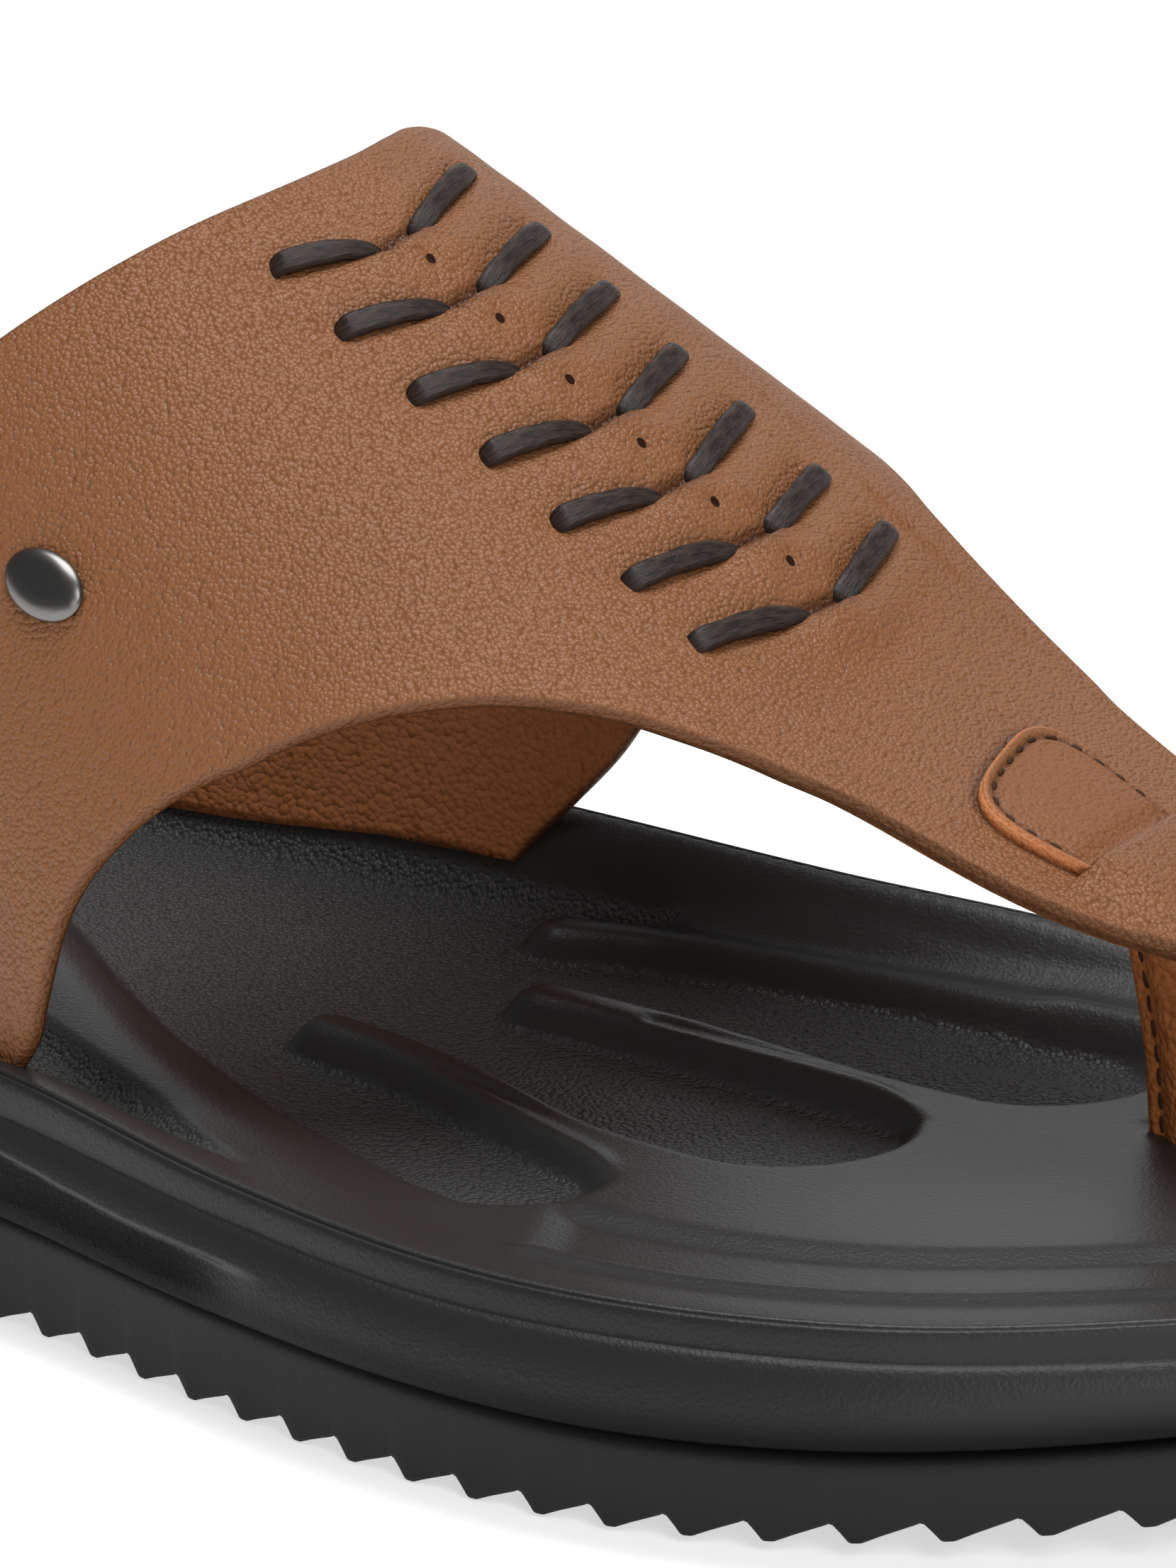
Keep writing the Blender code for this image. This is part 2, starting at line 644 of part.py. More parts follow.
def add_lacing(finish):
    """The row of chevrons along the instep, each a lateral and a medial bar."""
    rows = np.stack(list(LACING.values()), axis=1).reshape(-1, 4, 2)
    for number, ends in enumerate(rows, start=1):
        add_lace_bar(f"lace_lateral_{number}", *ends[:2], finish)
        add_lace_bar(f"lace_medial_{number}", *ends[2:], finish)


def add_stud(finish):
    """Plain oval dome on the outer side of the upper."""
    step = 0.01
    at_x = np.array([STUD_X - 1, STUD_X, STUD_X + 1, STUD_X, STUD_X])
    at_round = np.array([STUD_ROUND, STUD_ROUND, STUD_ROUND, STUD_ROUND - step, STUD_ROUND + step])
    behind, middle, ahead, below, above = last_section(at_x, at_round)
    along = (ahead - behind) / np.linalg.norm(ahead - behind)
    out = np.cross(along, above - below)
    out /= np.linalg.norm(out)
    up = np.cross(out, along)
    turn = np.linspace(0, 2 * np.pi, 14, endpoint=False)
    oval = STUD_HALF_LENGTH * np.outer(np.cos(turn), along) + STUD_HALF_WIDTH * np.outer(np.sin(turn), up)
    base = LEATHER / 2 + GAP
    sections = []
    for size, height in ((0.9, 0.0), (1.0, 0.35), (0.9, 0.75), (0.55, 1.0)):
        sections.append(middle + size * oval + out * (base + height * STUD_HEIGHT))
    add_piece("stud", np.array(sections), tube_faces(len(sections), len(turn)), finish)


def main():
    for thing in list(bpy.data.objects):
        bpy.data.objects.remove(thing)
    rubber = material("outsole_rubber", (0.012, 0.012, 0.012), 0.62)
    moulded = material("midsole_foam", (0.016, 0.015, 0.014), 0.5)
    insole = material("footbed_foam", (0.018, 0.017, 0.016), 0.45)
    leather = material("tan_leather", (0.25, 0.098, 0.038), 0.48)
    strap = material("strap_leather", (0.23, 0.085, 0.03), 0.5)
    lacing = material("lacing_leather", (0.03, 0.022, 0.02), 0.4)
    metal = material("stud_metal", (0.36, 0.35, 0.34), 0.3, 1.0)
    add_outsole(rubber)
    add_midsole(moulded)
    add_footbed(insole)
    add_upper(leather)
    add_toe_post(strap)
    add_post_tab(strap)
    add_lacing(lacing)
    add_stud(metal)


main()
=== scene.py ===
"""Looks of a leather thong slipper for the right foot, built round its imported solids.

Shapes are worked out in millimetres, with +X to the toe, +Y to the medial side and +Z up, and
become metres in the row frame when a mesh is made.
"""

import bpy
import numpy as np
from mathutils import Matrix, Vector


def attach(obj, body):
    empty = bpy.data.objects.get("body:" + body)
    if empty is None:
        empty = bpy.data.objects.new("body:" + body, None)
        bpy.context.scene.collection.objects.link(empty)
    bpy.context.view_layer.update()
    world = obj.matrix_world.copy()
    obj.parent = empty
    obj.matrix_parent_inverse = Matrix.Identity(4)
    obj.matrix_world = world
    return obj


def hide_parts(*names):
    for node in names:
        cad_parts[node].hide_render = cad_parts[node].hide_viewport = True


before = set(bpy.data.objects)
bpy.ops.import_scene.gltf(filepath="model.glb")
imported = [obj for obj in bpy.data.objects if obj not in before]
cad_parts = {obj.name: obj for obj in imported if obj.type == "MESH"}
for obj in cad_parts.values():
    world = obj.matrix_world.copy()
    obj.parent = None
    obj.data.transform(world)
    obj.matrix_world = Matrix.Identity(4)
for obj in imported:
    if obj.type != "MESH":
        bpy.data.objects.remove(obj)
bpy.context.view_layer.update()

MILLIMETRE = 0.001
FRAME_MIDDLE = np.array([0.0, 0.79, 0.0])

# Sizes shared with the solids
SOLE_LENGTH = 285.0
BALL_WIDTH = 109.5
INSTEP_HEIGHT = 100.0
TOE_SPRING = 9.8
HEEL_LIFT = 4.0
SPRING_START = 45.0
HEEL_LIFT_START = -125.0
LEATHER = 2.0
LEG_TUCK = 9.6
LEG_SINK = 0.9

# Ripple tread
FIRST_TOOTH = -131.0
TOOTH_PITCH = 6.9
TOOTH_DEPTH = 1.8
TOOTH_LAND = 1.0
TOOTH_DROP = 1.5
TREAD_INSET = 5.0

# Crease of the lateral wall, behind the ball
CREASE_SET_BACK = 1.6

# Footbed relief
FOOTBED_INSET = 4.1
PALM_DEPTH = 2.2
RIDGE_RISE = 3.3
RIDGE_HALF_WIDTH = 4.6
SOFT_EDGE = 3.6
BAND_RISE = 1.2
BAND_HALF_WIDTH = 7.5
SEAT_DEPTH = 1.4
TOE_RIB_RISE = 0.85
TOE_RIB_INSET = 8.2
TOE_STEP = 0.95
TROUGH_EDGE = 22.0
TROUGH_RUN = 3.1

# Chevron lacing and the pleats that it pulls into the leather
CHEVRON_PITCH = 7.4
FOLD_HALF_LENGTH = 2.2
PLEAT_RISE = 1.3
LACE_WIDTH = 2.05
LACE_THICKNESS = 1.3

# Tab and the lip of the slit that it comes out of
SLIT_MIDDLE = (73.75, 14.2)
SLIT_SLOPE = -0.062
SLIT_HALF_WIDTH = 8.0
LIP_RISE = 2.5
TAB_REAR = (60.2, 13.4)
TAB_HALF_WIDTH = 10.4
TAB_THICKNESS = 1.5
TAB_POWER = 3.8
TAB_SKEW = 0.157
TAB_TAPER = 0.25
TAB_SEAM = 0.9

# Plain oval stud
STUD_X = -14.2
STUD_ROUND = 0.184
STUD_HALF_LENGTH = 4.6
STUD_HALF_WIDTH = 3.1
STUD_HEIGHT = 1.5

# Camera at the photograph's viewing angle
AZIMUTH = 37.0
ELEVATION = 17.0
CAMERA_AWAY = 880.0
CAMERA_AIM = (-70.9, 126.9, 0.0)
FOCAL_SHARE = 11000.0 / 2212.0
SENSOR = 36.0

# Studio lights: name, place, aim, size and power
LIGHTS = (
    ("overhead", (0, 60, 900), (30, 20, 40), (600, 600), 7.5),
    ("behind", (-500, 900, 420), (40, 0, 20), (900, 500), 1.26),
    ("front_right", (700, -400, 600), (40, 10, 50), (400, 400), 2.5),
    ("front_low", (600, -680, 230), (20, 10, 30), (500, 300), 0.9),
)


def table(columns, *rows):
    """Named columns of a short table."""
    return dict(zip(columns.split(), np.array(rows, float).T))


# Plan outline, heel round the lateral side to the toe and back: percent of length and of width
OUTLINE = table(
    "along across",
    (0, 0), (1.9, -18.3), (7.9, -30.1), (18.4, -35.6), (32.5, -37.9), (46.5, -42.0), (57.0, -47.0),
    (65.8, -49.3), (72.8, -47.5), (79.8, -41.1), (86.8, -29.2), (92.8, -15.5), (97.4, 0.5),
    (100, 20.1), (98.8, 34.7), (94.9, 44.3), (87.9, 49.3), (78.1, 50.7), (67.5, 48.9), (57.0, 45.2),
    (46.5, 42.0), (32.5, 38.4), (18.4, 36.1), (7.9, 30.1), (1.9, 18.3),
)
TOE_ROW = 13

# Heights of the sole's levels, before toe spring
LEVELS = table(
    "x groove cradle bead rim_lateral rim_medial bed",
    (-142.5, 13.5, 18.0, 24.0, 28.5, 28.5, 25.5),
    (-90, 13.2, 17.5, 23.5, 27.5, 30.1, 23.3),
    (-50, 12.8, 17.0, 22.5, 26.3, 31.4, 23.3),
    (-10, 11.9, 16.0, 21.3, 25.0, 29.9, 21.8),
    (20, 11.0, 15.0, 19.8, 22.8, 27.9, 20.9),
    (45, 10.6, 14.5, 18.9, 21.9, 26.6, 20.7),
    (65, 10.0, 14.0, 18.5, 21.3, 24.8, 20.3),
    (100, 9.0, 12.4, 16.3, 19.2, 21.4, 18.7),
    (142.5, 8.5, 10.6, 13.2, 16.2, 16.6, 15.2),
)

# Side of the midsole from its underside up: two levels, then insets and shares of the way between them
WALL = (
    ("groove", "bead", (
        (24.0, 0.02), (6.5, 0.02), (3.2, 0.015), (1.8, 0.03), (0.8, 0.08), (0.25, 0.16), (0.0, 0.26),
        (0.08, 0.39), (0.28, 0.53), (0.58, 0.66), (0.95, 0.78), (1.4, 0.88), (1.9, 0.955), (2.3, 0.99),
        (2.5, 1.005),
    )),
    ("bead", "rim", (
        (2.62, 0.12), (2.78, 0.5), (2.96, 0.8), (3.2, 0.94), (3.5, 0.975), (3.8, 0.93), (3.97, 0.8),
        (4.0, 0.2),
    )),
    ("cradle", "cradle", ((4.6, 0.0), (24.0, 0.0))),
)

# Grained recesses of the footbed: round-ended slots
PALM_SLOTS = table(
    "start_x start_y end_x end_y radius",
    (-60, 16, -6, 13, 28.0),
    (0, 24, 56, 28.3, 11.5),
    (0, 2, 46, 1, 12.0),
    (-15, -8, 34.5, -25, 8.5),
)
PALM_EDGE = table(
    "x y",
    (-104, 62), (-90, 44), (-75, 27), (-60, 14), (-39, 1), (-26, -8), (-15, -14.5), (4, -23.5),
    (24, -31), (40, -34),
)

# Ends of the lacing's bars, one chevron a row, from the collar to the toe
LACING = table(
    "lateral_outer_x lateral_outer_y lateral_inner_x lateral_inner_y"
    " medial_inner_x medial_inner_y medial_outer_x medial_outer_y",
    (-8.6, -4.3, -3.1, 5.2, -2.8, 9.4, -7.1, 23.0),
    (-0.4, -5.0, 4.6, 5.7, 4.7, 10.1, 1.0, 23.9),
    (7.9, -4.9, 12.2, 6.3, 12.1, 10.2, 8.5, 24.7),
    (15.8, -4.3, 19.5, 7.2, 19.8, 11.6, 16.0, 25.3),
    (23.7, -4.1, 27.3, 7.7, 27.2, 11.8, 22.8, 26.5),
    (31.3, -3.5, 34.0, 10.3, 33.7, 15.3, 30.4, 28.0),
    (38.3, -3.3, 41.3, 11.4, 41.1, 15.8, 36.7, 30.0),
)
CHEVRONS = len(LACING["lateral_outer_x"])

# Crests of the smooth ridges between the fingers, and of the band that crosses behind the palm
RIDGES = (
    ((-1, 30.2), (5, 33.3), (12, 35.6), (19, 37.6), (30, 39.1), (41, 40.2), (57, 42.4), (72, 45)),
    ((9.5, 13.6), (16, 14), (25, 14.1), (34, 13.5), (43, 12.9), (56, 12.2)),
    ((-0.5, -6.4), (5, -6.8), (13.5, -8.3), (22, -10.9), (32, -14.3), (44, -17.9)),
)
BAND = (
    (-108, 54), (-94, 36), (-80, 20), (-66, 8), (-45, -3), (-30, -11), (-10, -24), (8, -33), (26, -39.5),
    (40, -42),
)
SEAT_EDGE = table(
    "x y",
    (-116, 60), (-100, 33), (-84, 13), (-66, -2), (-45, -12), (-22, -22), (0, -32), (15, -40), (30, -49),
)

# Sections of the last; ridge height in percent of INSTEP_HEIGHT
LAST = table(
    "x ridge_y ridge_z lateral medial lateral_power medial_power",
    (-90, 16.0, 121, 48.5, 25.0, 2.1, 2.5),
    (-45, 17.5, 115, 53.5, 26.0, 2.1, 2.4),
    (-22, 18.5, 105, 56.0, 28.0, 2.1, 2.3),
    (0, 19.0, 93, 58.0, 30.0, 2.1, 2.5),
    (28, 19.5, 74.4, 60.0, 36.5, 2.1, 2.85),
    (50, 19.5, 58.8, 62.0, 41.0, 2.2, 3.0),
    (72, 19.5, 48, 62.0, 41.0, 2.2, 2.88),
    (96, 19.5, 40, 60.0, 38.0, 2.2, 2.7),
)

# Edges of the upper: x at each share of the way round, lateral foot to medial foot
FRONT_EDGE = table(
    "round x",
    (0.0, -11.5), (0.012, -9.3), (0.03, -8.1), (0.068, -5.7), (0.13, 3.0), (0.187, 13.6),
    (0.241, 23.0), (0.299, 33.4), (0.342, 42.0), (0.375, 50.8), (0.397, 60.5), (0.408, 71.1),
    (0.419, 78.4), (0.435, 85.5),
    (0.452, 90.5), (0.475, 93.3), (0.5, 94.0), (0.5115, 93.3), (0.532, 90.5), (0.5497, 86.0),
    (0.5597, 79.0), (0.5645, 70.0), (0.569, 62.0), (0.577, 57.0), (0.589, 49.0), (0.603, 41.0),
    (0.64, 31.8), (0.72, 23.5), (0.82, 14.0), (0.92, 3.0), (0.97, -4.0), (1.0, -12.2),
)
COLLAR = table(
    "round x",
    (0.0, -72), (0.1, -57), (0.2, -37), (0.265, -27.5), (0.36, -17.5), (0.42, -13.7), (0.467, -12.7),
    (0.52, -13.8), (0.56, -14.3), (0.6, -15.0), (0.65, -18.0), (0.7, -23.0), (0.8, -39.0), (0.9, -57.0),
    (1.0, -72.0),
)

# Toe post from the footbed to the underside of the upper
POST = table(
    "share x y half_x half_y",
    (0.0, 80.6, 19.0, 6.0, 2.9),
    (0.3, 79.8, 18.9, 5.9, 2.8),
    (0.6, 78.6, 18.7, 6.2, 3.1),
    (1.0, 77.0, 18.4, 7.2, 4.6),
)


def through(xs, ys, x):
    """Smooth curve through a table: cubic pieces that take their end slopes from the table."""
    x = np.clip(np.asarray(x, float), xs[0], xs[-1])
    slope = np.gradient(ys, xs)
    i = np.clip(np.searchsorted(xs, x) - 1, 0, len(xs) - 2)
    run = xs[i + 1] - xs[i]
    t = (x - xs[i]) / run
    ends = ys[i] * (1 + 2 * t) * (1 - t) ** 2 + ys[i + 1] * t * t * (3 - 2 * t)
    return ends + run * (slope[i] * t * (1 - t) ** 2 - slope[i + 1] * t * t * (1 - t))


def smooth_step(value):
    """0 below 0, 1 above 1, and an S-shaped rise between."""
    t = np.clip(value, 0.0, 1.0)
    return t * t * (3 - 2 * t)


def bump(value):
    """A bell of height 1 at 0: e to the minus square."""
    return np.exp(-value * value)


def quarter_circle(value):
    """Rise of a quarter circle: 0 below 0, 1 above 1, upright at its start and level at its end."""
    return np.sqrt(1 - (1 - np.clip(value, 0, 1)) ** 2)


def signed_power(value, power):
    """A value's size to a power, with its sign kept, as on a superellipse."""
    return np.sign(value) * np.abs(value) ** power


def window(value, start, rise, stop, fall):
    """0 before start, 1 from start + rise to stop, 0 past stop + fall, with S-shaped flanks."""
    return smooth_step((value - start) / rise) * (1 - smooth_step((value - stop) / fall))


def running_length(points):
    """Distance along a line of points from its first one."""
    return np.concatenate([[0.0], np.cumsum(np.linalg.norm(np.diff(points, axis=0), axis=1))])


def columns_at(rows, key, at):
    """Every column of a table, on its smooth curve, at values of the key column."""
    return {name: through(rows[key], rows[name], at) for name in rows}


def unit(vectors):
    """Vectors brought to length 1 along the last axis."""
    return vectors / np.linalg.norm(vectors, axis=-1)[..., None]


def outline_curve(side, share):
    """Points of the outline at shares of the way from heel to toe along one side."""
    x = (OUTLINE["along"] / 100 - 0.5) * SOLE_LENGTH
    y = OUTLINE["across"] / 100 * BALL_WIDTH
    points = np.stack([x, y], axis=1)
    wrap = 4
    closed = np.vstack([points[-wrap:], points, points[: wrap + 1]])
    knots = running_length(closed)
    heel = knots[wrap]
    toe = knots[wrap + TOE_ROW]
    back_at_heel = knots[wrap + len(points)]
    if side == "lateral":
        at = heel + (toe - heel) * share
    else:
        at = back_at_heel + (toe - back_at_heel) * share
    return np.stack([through(knots, closed[:, 0], at), through(knots, closed[:, 1], at)], axis=-1)


def edge(side, inset, share):
    """The outline moved inwards by inset, square to itself."""
    step = 1e-4
    along = outline_curve(side, np.clip(share + step, 0, 1))
    along = unit(along - outline_curve(side, np.clip(share - step, 0, 1)))
    turn = 1.0 if side == "lateral" else -1.0
    inward = turn * np.stack([-along[..., 1], along[..., 0]], axis=-1)
    return outline_curve(side, share) + np.asarray(inset)[..., None] * inward


def lift(x):
    """How far the sole's underside rises off the floor at the toe and at the heel."""
    toe = np.clip((x - SPRING_START) / (SOLE_LENGTH / 2 - SPRING_START), 0, None)
    heel = np.clip((HEEL_LIFT_START - x) / (SOLE_LENGTH / 2 + HEEL_LIFT_START), 0, None)
    return TOE_SPRING * toe ** 2 + HEEL_LIFT * heel ** 2


def level(name, x, y):
    """Height of one of the sole's levels. The rim goes from its lateral to its medial height."""
    if name == "rim":
        lateral = through(LEVELS["x"], LEVELS["rim_lateral"], x)
        medial = through(LEVELS["x"], LEVELS["rim_medial"], x)
        height = lateral + (medial - lateral) * smooth_step((y + 40) / 80)
    else:
        height = through(LEVELS["x"], LEVELS[name], x)
    return height + lift(x)


def inset_of(x, y):
    """How far points lie inside the footbed's edge: the least distance to its densely set points."""
    share = np.linspace(0, 1, 260)
    ring = np.vstack([edge("lateral", FOOTBED_INSET, share), edge("medial", FOOTBED_INSET, share)])
    ring = ring.astype(np.float32)
    flat = np.stack([np.ravel(x), np.ravel(y)], axis=1).astype(np.float32)
    blocks = np.array_split(flat, len(flat) // 8000 + 1)
    nearest = [np.hypot(b[:, None, 0] - ring[:, 0], b[:, None, 1] - ring[:, 1]).min(axis=1) for b in blocks]
    return np.concatenate(nearest).reshape(np.shape(x)).astype(float)


def from_segment(x, y, start, end):
    """Distance of points from a straight segment."""
    run = np.subtract(end, start)
    t = np.clip(((x - start[0]) * run[0] + (y - start[1]) * run[1]) / (run @ run), 0, 1)
    return np.hypot(x - start[0] - t * run[0], y - start[1] - t * run[1])


def from_path(x, y, path):
    """Distance of points from a path of straight segments."""
    return np.min([from_segment(x, y, a, b) for a, b in zip(path[:-1], path[1:])], axis=0)


def palm_depth(x, y):
    """How far points lie inside the palm and its fingers, in millimetres; negative outside."""
    rows = zip(*PALM_SLOTS.values())
    slots = np.max([r - from_segment(x, y, (sx, sy), (ex, ey)) for sx, sy, ex, ey, r in rows], axis=0)
    lateral = (y - np.interp(x, PALM_EDGE["x"], PALM_EDGE["y"])) * 0.9
    return np.minimum(slots, lateral)


def seat_depth(x, y, inset):
    """How far points lie inside the heel seat, behind the band and within the rim's slope."""
    behind = np.interp(x, SEAT_EDGE["x"], SEAT_EDGE["y"], left=90.0, right=-90.0) - y
    return np.minimum(behind * 0.85, inset - 4.5)


def ridge_section(away):
    """A ridge's height, 1 at its crest: flat on top, with steep sides, nothing past its half width."""
    return np.clip(1 - np.abs(away / RIDGE_HALF_WIDTH) ** 3, 0, 1) ** 1.5


def footbed_relief(x, y):
    """Top of the footbed and the share of grain on it, which also gets a base painted lighter as light.

    A bed curves up to the rim. The palm and its fingers are sunk into it, ridges stand between the
    fingers, a band crosses behind the palm with the heel seat sunk behind it, and round the toe run
    a rib, a flat trough and a short ramp, rounded at its top, up to the flat platform.
    """
    inset = inset_of(x, y)
    rim_run = 11.0 - 3.5 * smooth_step((y + 40) / 80)
    bed = level("bed", x, y)
    height = bed + (level("rim", x, y) - bed) * (1 - smooth_step(inset / rim_run))
    inside = np.minimum(palm_depth(x, y), inset - 4.2)
    palm = smooth_step(inside / SOFT_EDGE + 0.5)
    crest = np.min([from_path(x, y, path) for path in RIDGES], axis=0)
    ridge = ridge_section(crest)
    height += palm * (RIDGE_RISE * ridge - PALM_DEPTH)
    medial_bar = ridge_section(from_path(x, y, RIDGES[0]))
    height += (1 - palm) * (RIDGE_RISE - PALM_DEPTH) * medial_bar * smooth_step((84 - x) / 26)
    behind_toes = 1 - smooth_step((x - 20) / 22)
    off_medial_rim = smooth_step((inset - 1) / 9 + (y < 0))
    band = smooth_step(1 - from_path(x, y, BAND) / BAND_HALF_WIDTH)
    height += BAND_RISE * behind_toes * off_medial_rim * band
    seat = seat_depth(x, y, inset)
    height -= SEAT_DEPTH * smooth_step(seat / 2.5)
    not_medial = 1 - smooth_step((y - 32) / 18)
    past_rib = inset - TOE_RIB_INSET
    along = x + 0.5 * np.clip(past_rib, -4, 14)
    rib = smooth_step((along - 46) / 4.5) * not_medial
    height += TOE_RIB_RISE * rib * bump(past_rib / np.where(past_rib < 0, 1.9, 1.2))
    fall = (TROUGH_EDGE - inset) / TROUGH_RUN
    fall = np.minimum((fall + np.sqrt(fall ** 2 + 0.012)) / 2, 1)
    floor = smooth_step((past_rib - 0.1) / 2.4) * fall
    height -= TOE_STEP * floor * smooth_step((along - 48) / 5) * not_medial
    socket = np.hypot((x - POST["x"][0]) / 7.2, (y - POST["y"][0]) / 4.0)
    height -= 0.4 * (1 - smooth_step((socket - 0.75) / 0.35))
    off_ridge = smooth_step((crest - 3.9) / 1.0)
    in_palm = smooth_step((inside - 1.3) / 1.2)
    on_slope = window(inset, 4.2, 1.2, 8, 1.5) * smooth_step((y - 28) / 6) * smooth_step((74 - x) / 26)
    grain = np.maximum(np.maximum(in_palm, on_slope) * off_ridge, smooth_step(seat / 2))
    return height, grain


def foot_heights():
    """Heights of the legs' feet along each side, a little into the footbed."""
    x = np.linspace(LAST["x"][0], LAST["x"][-1], 180)
    ridge_y = through(LAST["x"], LAST["ridge_y"], x)
    feet = {"x": x}
    for side, reach in (("lateral", -1.0), ("medial", 1.0)):
        y = ridge_y + reach * through(LAST["x"], LAST[side], x) - (LEG_TUCK if side == "medial" else 0.0)
        feet[side] = footbed_relief(x, y)[0] - LEG_SINK
    return feet


FEET = foot_heights()


def foot_height(x, lateral):
    """Height of the upper's foot on the lateral side where asked, and on the medial side elsewhere."""
    return np.where(lateral, *[np.interp(x, FEET["x"], FEET[side]) for side in ("lateral", "medial")])


def last_section(x, round_share):
    """Points of the last: x along the foot, round_share from the lateral foot (0) to the medial (1).

    Each side is a superellipse from the footbed up to the ridge. Near its foot the medial side is
    tucked in by LEG_TUCK, towards the leg's place on the footbed.
    """
    row = columns_at(LAST, "x", x)
    cosine = np.cos(np.pi * round_share)
    sine = np.abs(np.sin(np.pi * round_share))
    lateral = cosine > 0
    power = 2 / np.where(lateral, row["lateral_power"], row["medial_power"])
    rise = sine ** power
    reach = np.where(lateral, -row["lateral"], row["medial"])
    tuck = np.where(lateral, 0.0, LEG_TUCK)
    y = row["ridge_y"] + reach * np.abs(cosine) ** power - tuck * (1 - rise) ** 2
    low = foot_height(x, lateral)
    ridge_z = row["ridge_z"] / 100 * INSTEP_HEIGHT
    return np.stack([x, y, low + (ridge_z - low) * rise], axis=-1)


def top_height(x, y):
    """Height of the last's skin over a point near the ridge, where the side's tuck is nothing."""
    row = columns_at(LAST, "x", x)
    off = y - row["ridge_y"]
    lateral = off < 0
    power = np.where(lateral, row["lateral_power"], row["medial_power"])
    reach = np.where(lateral, row["lateral"], row["medial"])
    low = foot_height(x, lateral)
    ridge_z = row["ridge_z"] / 100 * INSTEP_HEIGHT
    return low + (ridge_z - low) * (1 - np.abs(off / reach) ** power) ** (1 / power)


def skin_normal(x, y):
    """Outward normal of the last's skin over points near the ridge."""
    step = 0.2
    slope_x = (top_height(x + step, y) - top_height(x - step, y)) / (2 * step)
    slope_y = (top_height(x, y + step) - top_height(x, y - step)) / (2 * step)
    return unit(np.stack([-slope_x, -slope_y, np.ones_like(slope_x)], axis=-1))


def above_skin(x, y, height):
    """Points at a height off the last's skin, square to it."""
    x, y, height = np.broadcast_arrays(x, y, height)
    return np.stack([x, y, top_height(x, y)], axis=-1) + skin_normal(x, y) * height[..., None]


def fold_middles():
    """Middles of the folds between the two bars of each chevron."""
    x = (LACING["lateral_inner_x"] + LACING["medial_inner_x"]) / 2
    y = (LACING["lateral_inner_y"] + LACING["medial_inner_y"]) / 2
    return x, y


def chevron_place(x, y):
    """Which chevron a point belongs to, as a number that grows along the row, and its side distance.

    The bars lean back on both sides of the line through the folds' middles.
    """
    fold_x, fold_y = fold_middles()
    aside = y - np.interp(x, fold_x, fold_y)
    rise = LACING["lateral_inner_y"] - LACING["lateral_outer_y"]
    lean_lateral = np.interp(x, fold_x, (LACING["lateral_inner_x"] - LACING["lateral_outer_x"]) / rise)
    rise = LACING["medial_outer_y"] - LACING["medial_inner_y"]
    lean_medial = np.interp(x, fold_x, (LACING["medial_inner_x"] - LACING["medial_outer_x"]) / rise)
    back = np.clip(np.abs(aside) - FOLD_HALF_LENGTH, 0, None) * np.where(aside < 0, lean_lateral, lean_medial)
    ends = (fold_x[0] - 3 * CHEVRON_PITCH, *fold_x, fold_x[-1] + 3 * CHEVRON_PITCH)
    return np.interp(x + back, ends, (-3, *range(CHEVRONS), CHEVRONS + 2)), aside


def pleats(x, y):
    """Height of the leather's pleats off the skin, and the share of shade in their folds.

    Along the row each pleat starts as a step on the toe side of a fold, stays up and runs down to the
    next fold, which is cut a little into the leather. The pleats are strongest in the middle, fade
    along the bars, and end with the row. The bars press a trough, soft pillows rise between their
    ends, and each middle of a pleat is pricked.
    """
    place, aside = chevron_place(x, y)
    phase = place - np.floor(place)
    in_row = window(place, -0.4, 0.3, 6.15, 0.25)
    row = window(place, -0.12, 0.1, 6.3, 0.9)
    after = window(phase, 0, 0.075, 0.12, 0.95)
    middle = bump(aside / 4.6)
    height = PLEAT_RISE * middle * after * row
    from_fold = (place - np.round(place)) * CHEVRON_PITCH
    fold = bump((from_fold + 0.25) / 0.55) * (1 - smooth_step((np.abs(aside) - 2.2) / 1.6)) * in_row
    height -= 0.8 * fold
    on_bar = window(np.abs(aside), 1.8, 2, 13.5, 3)
    height -= 0.55 * bump(from_fold / 1.5) * on_bar * in_row
    between = 0.5 - 0.5 * np.cos(2 * np.pi * phase)
    pillow = np.where(aside > 0, bump(aside / 15), bump(aside / 8)) * smooth_step((np.abs(aside) - 1) / 4)
    height += 0.75 * pillow * between * window(place, -0.6, 0.6, 6.2, 0.8)
    prick = np.hypot((phase - 0.42) * CHEVRON_PITCH, aside)
    height -= 0.35 * bump(prick / 0.9) * window(place, 0, 0.2, 5.7, 0.2)
    shade = np.maximum(fold, 0.5 * bump((from_fold - 0.55) / 0.5) * middle ** 2 * in_row)
    return height, shade


def slit_x(y):
    """x of the slit across the strap."""
    return SLIT_MIDDLE[0] + SLIT_SLOPE * (y - SLIT_MIDDLE[1])


def slit_lip(x, y):
    """Rise of the strap in front of the slit, where it laps over the tab.

    It rolls up from the slit on a quarter circle, falls away to the front, and ends softly beyond
    the slit's ends.
    """
    ahead = x - slit_x(y)
    aside = np.abs(y - SLIT_MIDDLE[1]) - SLIT_HALF_WIDTH
    across = 1 - smooth_step((aside + 2.5) / 6)
    roll = quarter_circle(ahead / 1.3)
    fall = bump(np.clip(ahead - 1.3, 0, None) / 9.0)
    wrinkle = 0.16 * np.sin(ahead * 1.9 - 0.5 * y) * bump((aside - 1.5) / 2.5) * bump((ahead - 4) / 5)
    return LIP_RISE * across * roll * fall + wrinkle * smooth_step(ahead)


def even_shares(count, *weights):
    """Shares from 0 to 1 whose spacing follows the sum of running lengths, each brought to 1."""
    share = np.linspace(0, 1, 1500)
    travelled = np.zeros(len(share))
    for weight in weights:
        length = weight(share)
        travelled += length / length[-1]
    return np.interp(np.linspace(0, travelled[-1], count), travelled, share)


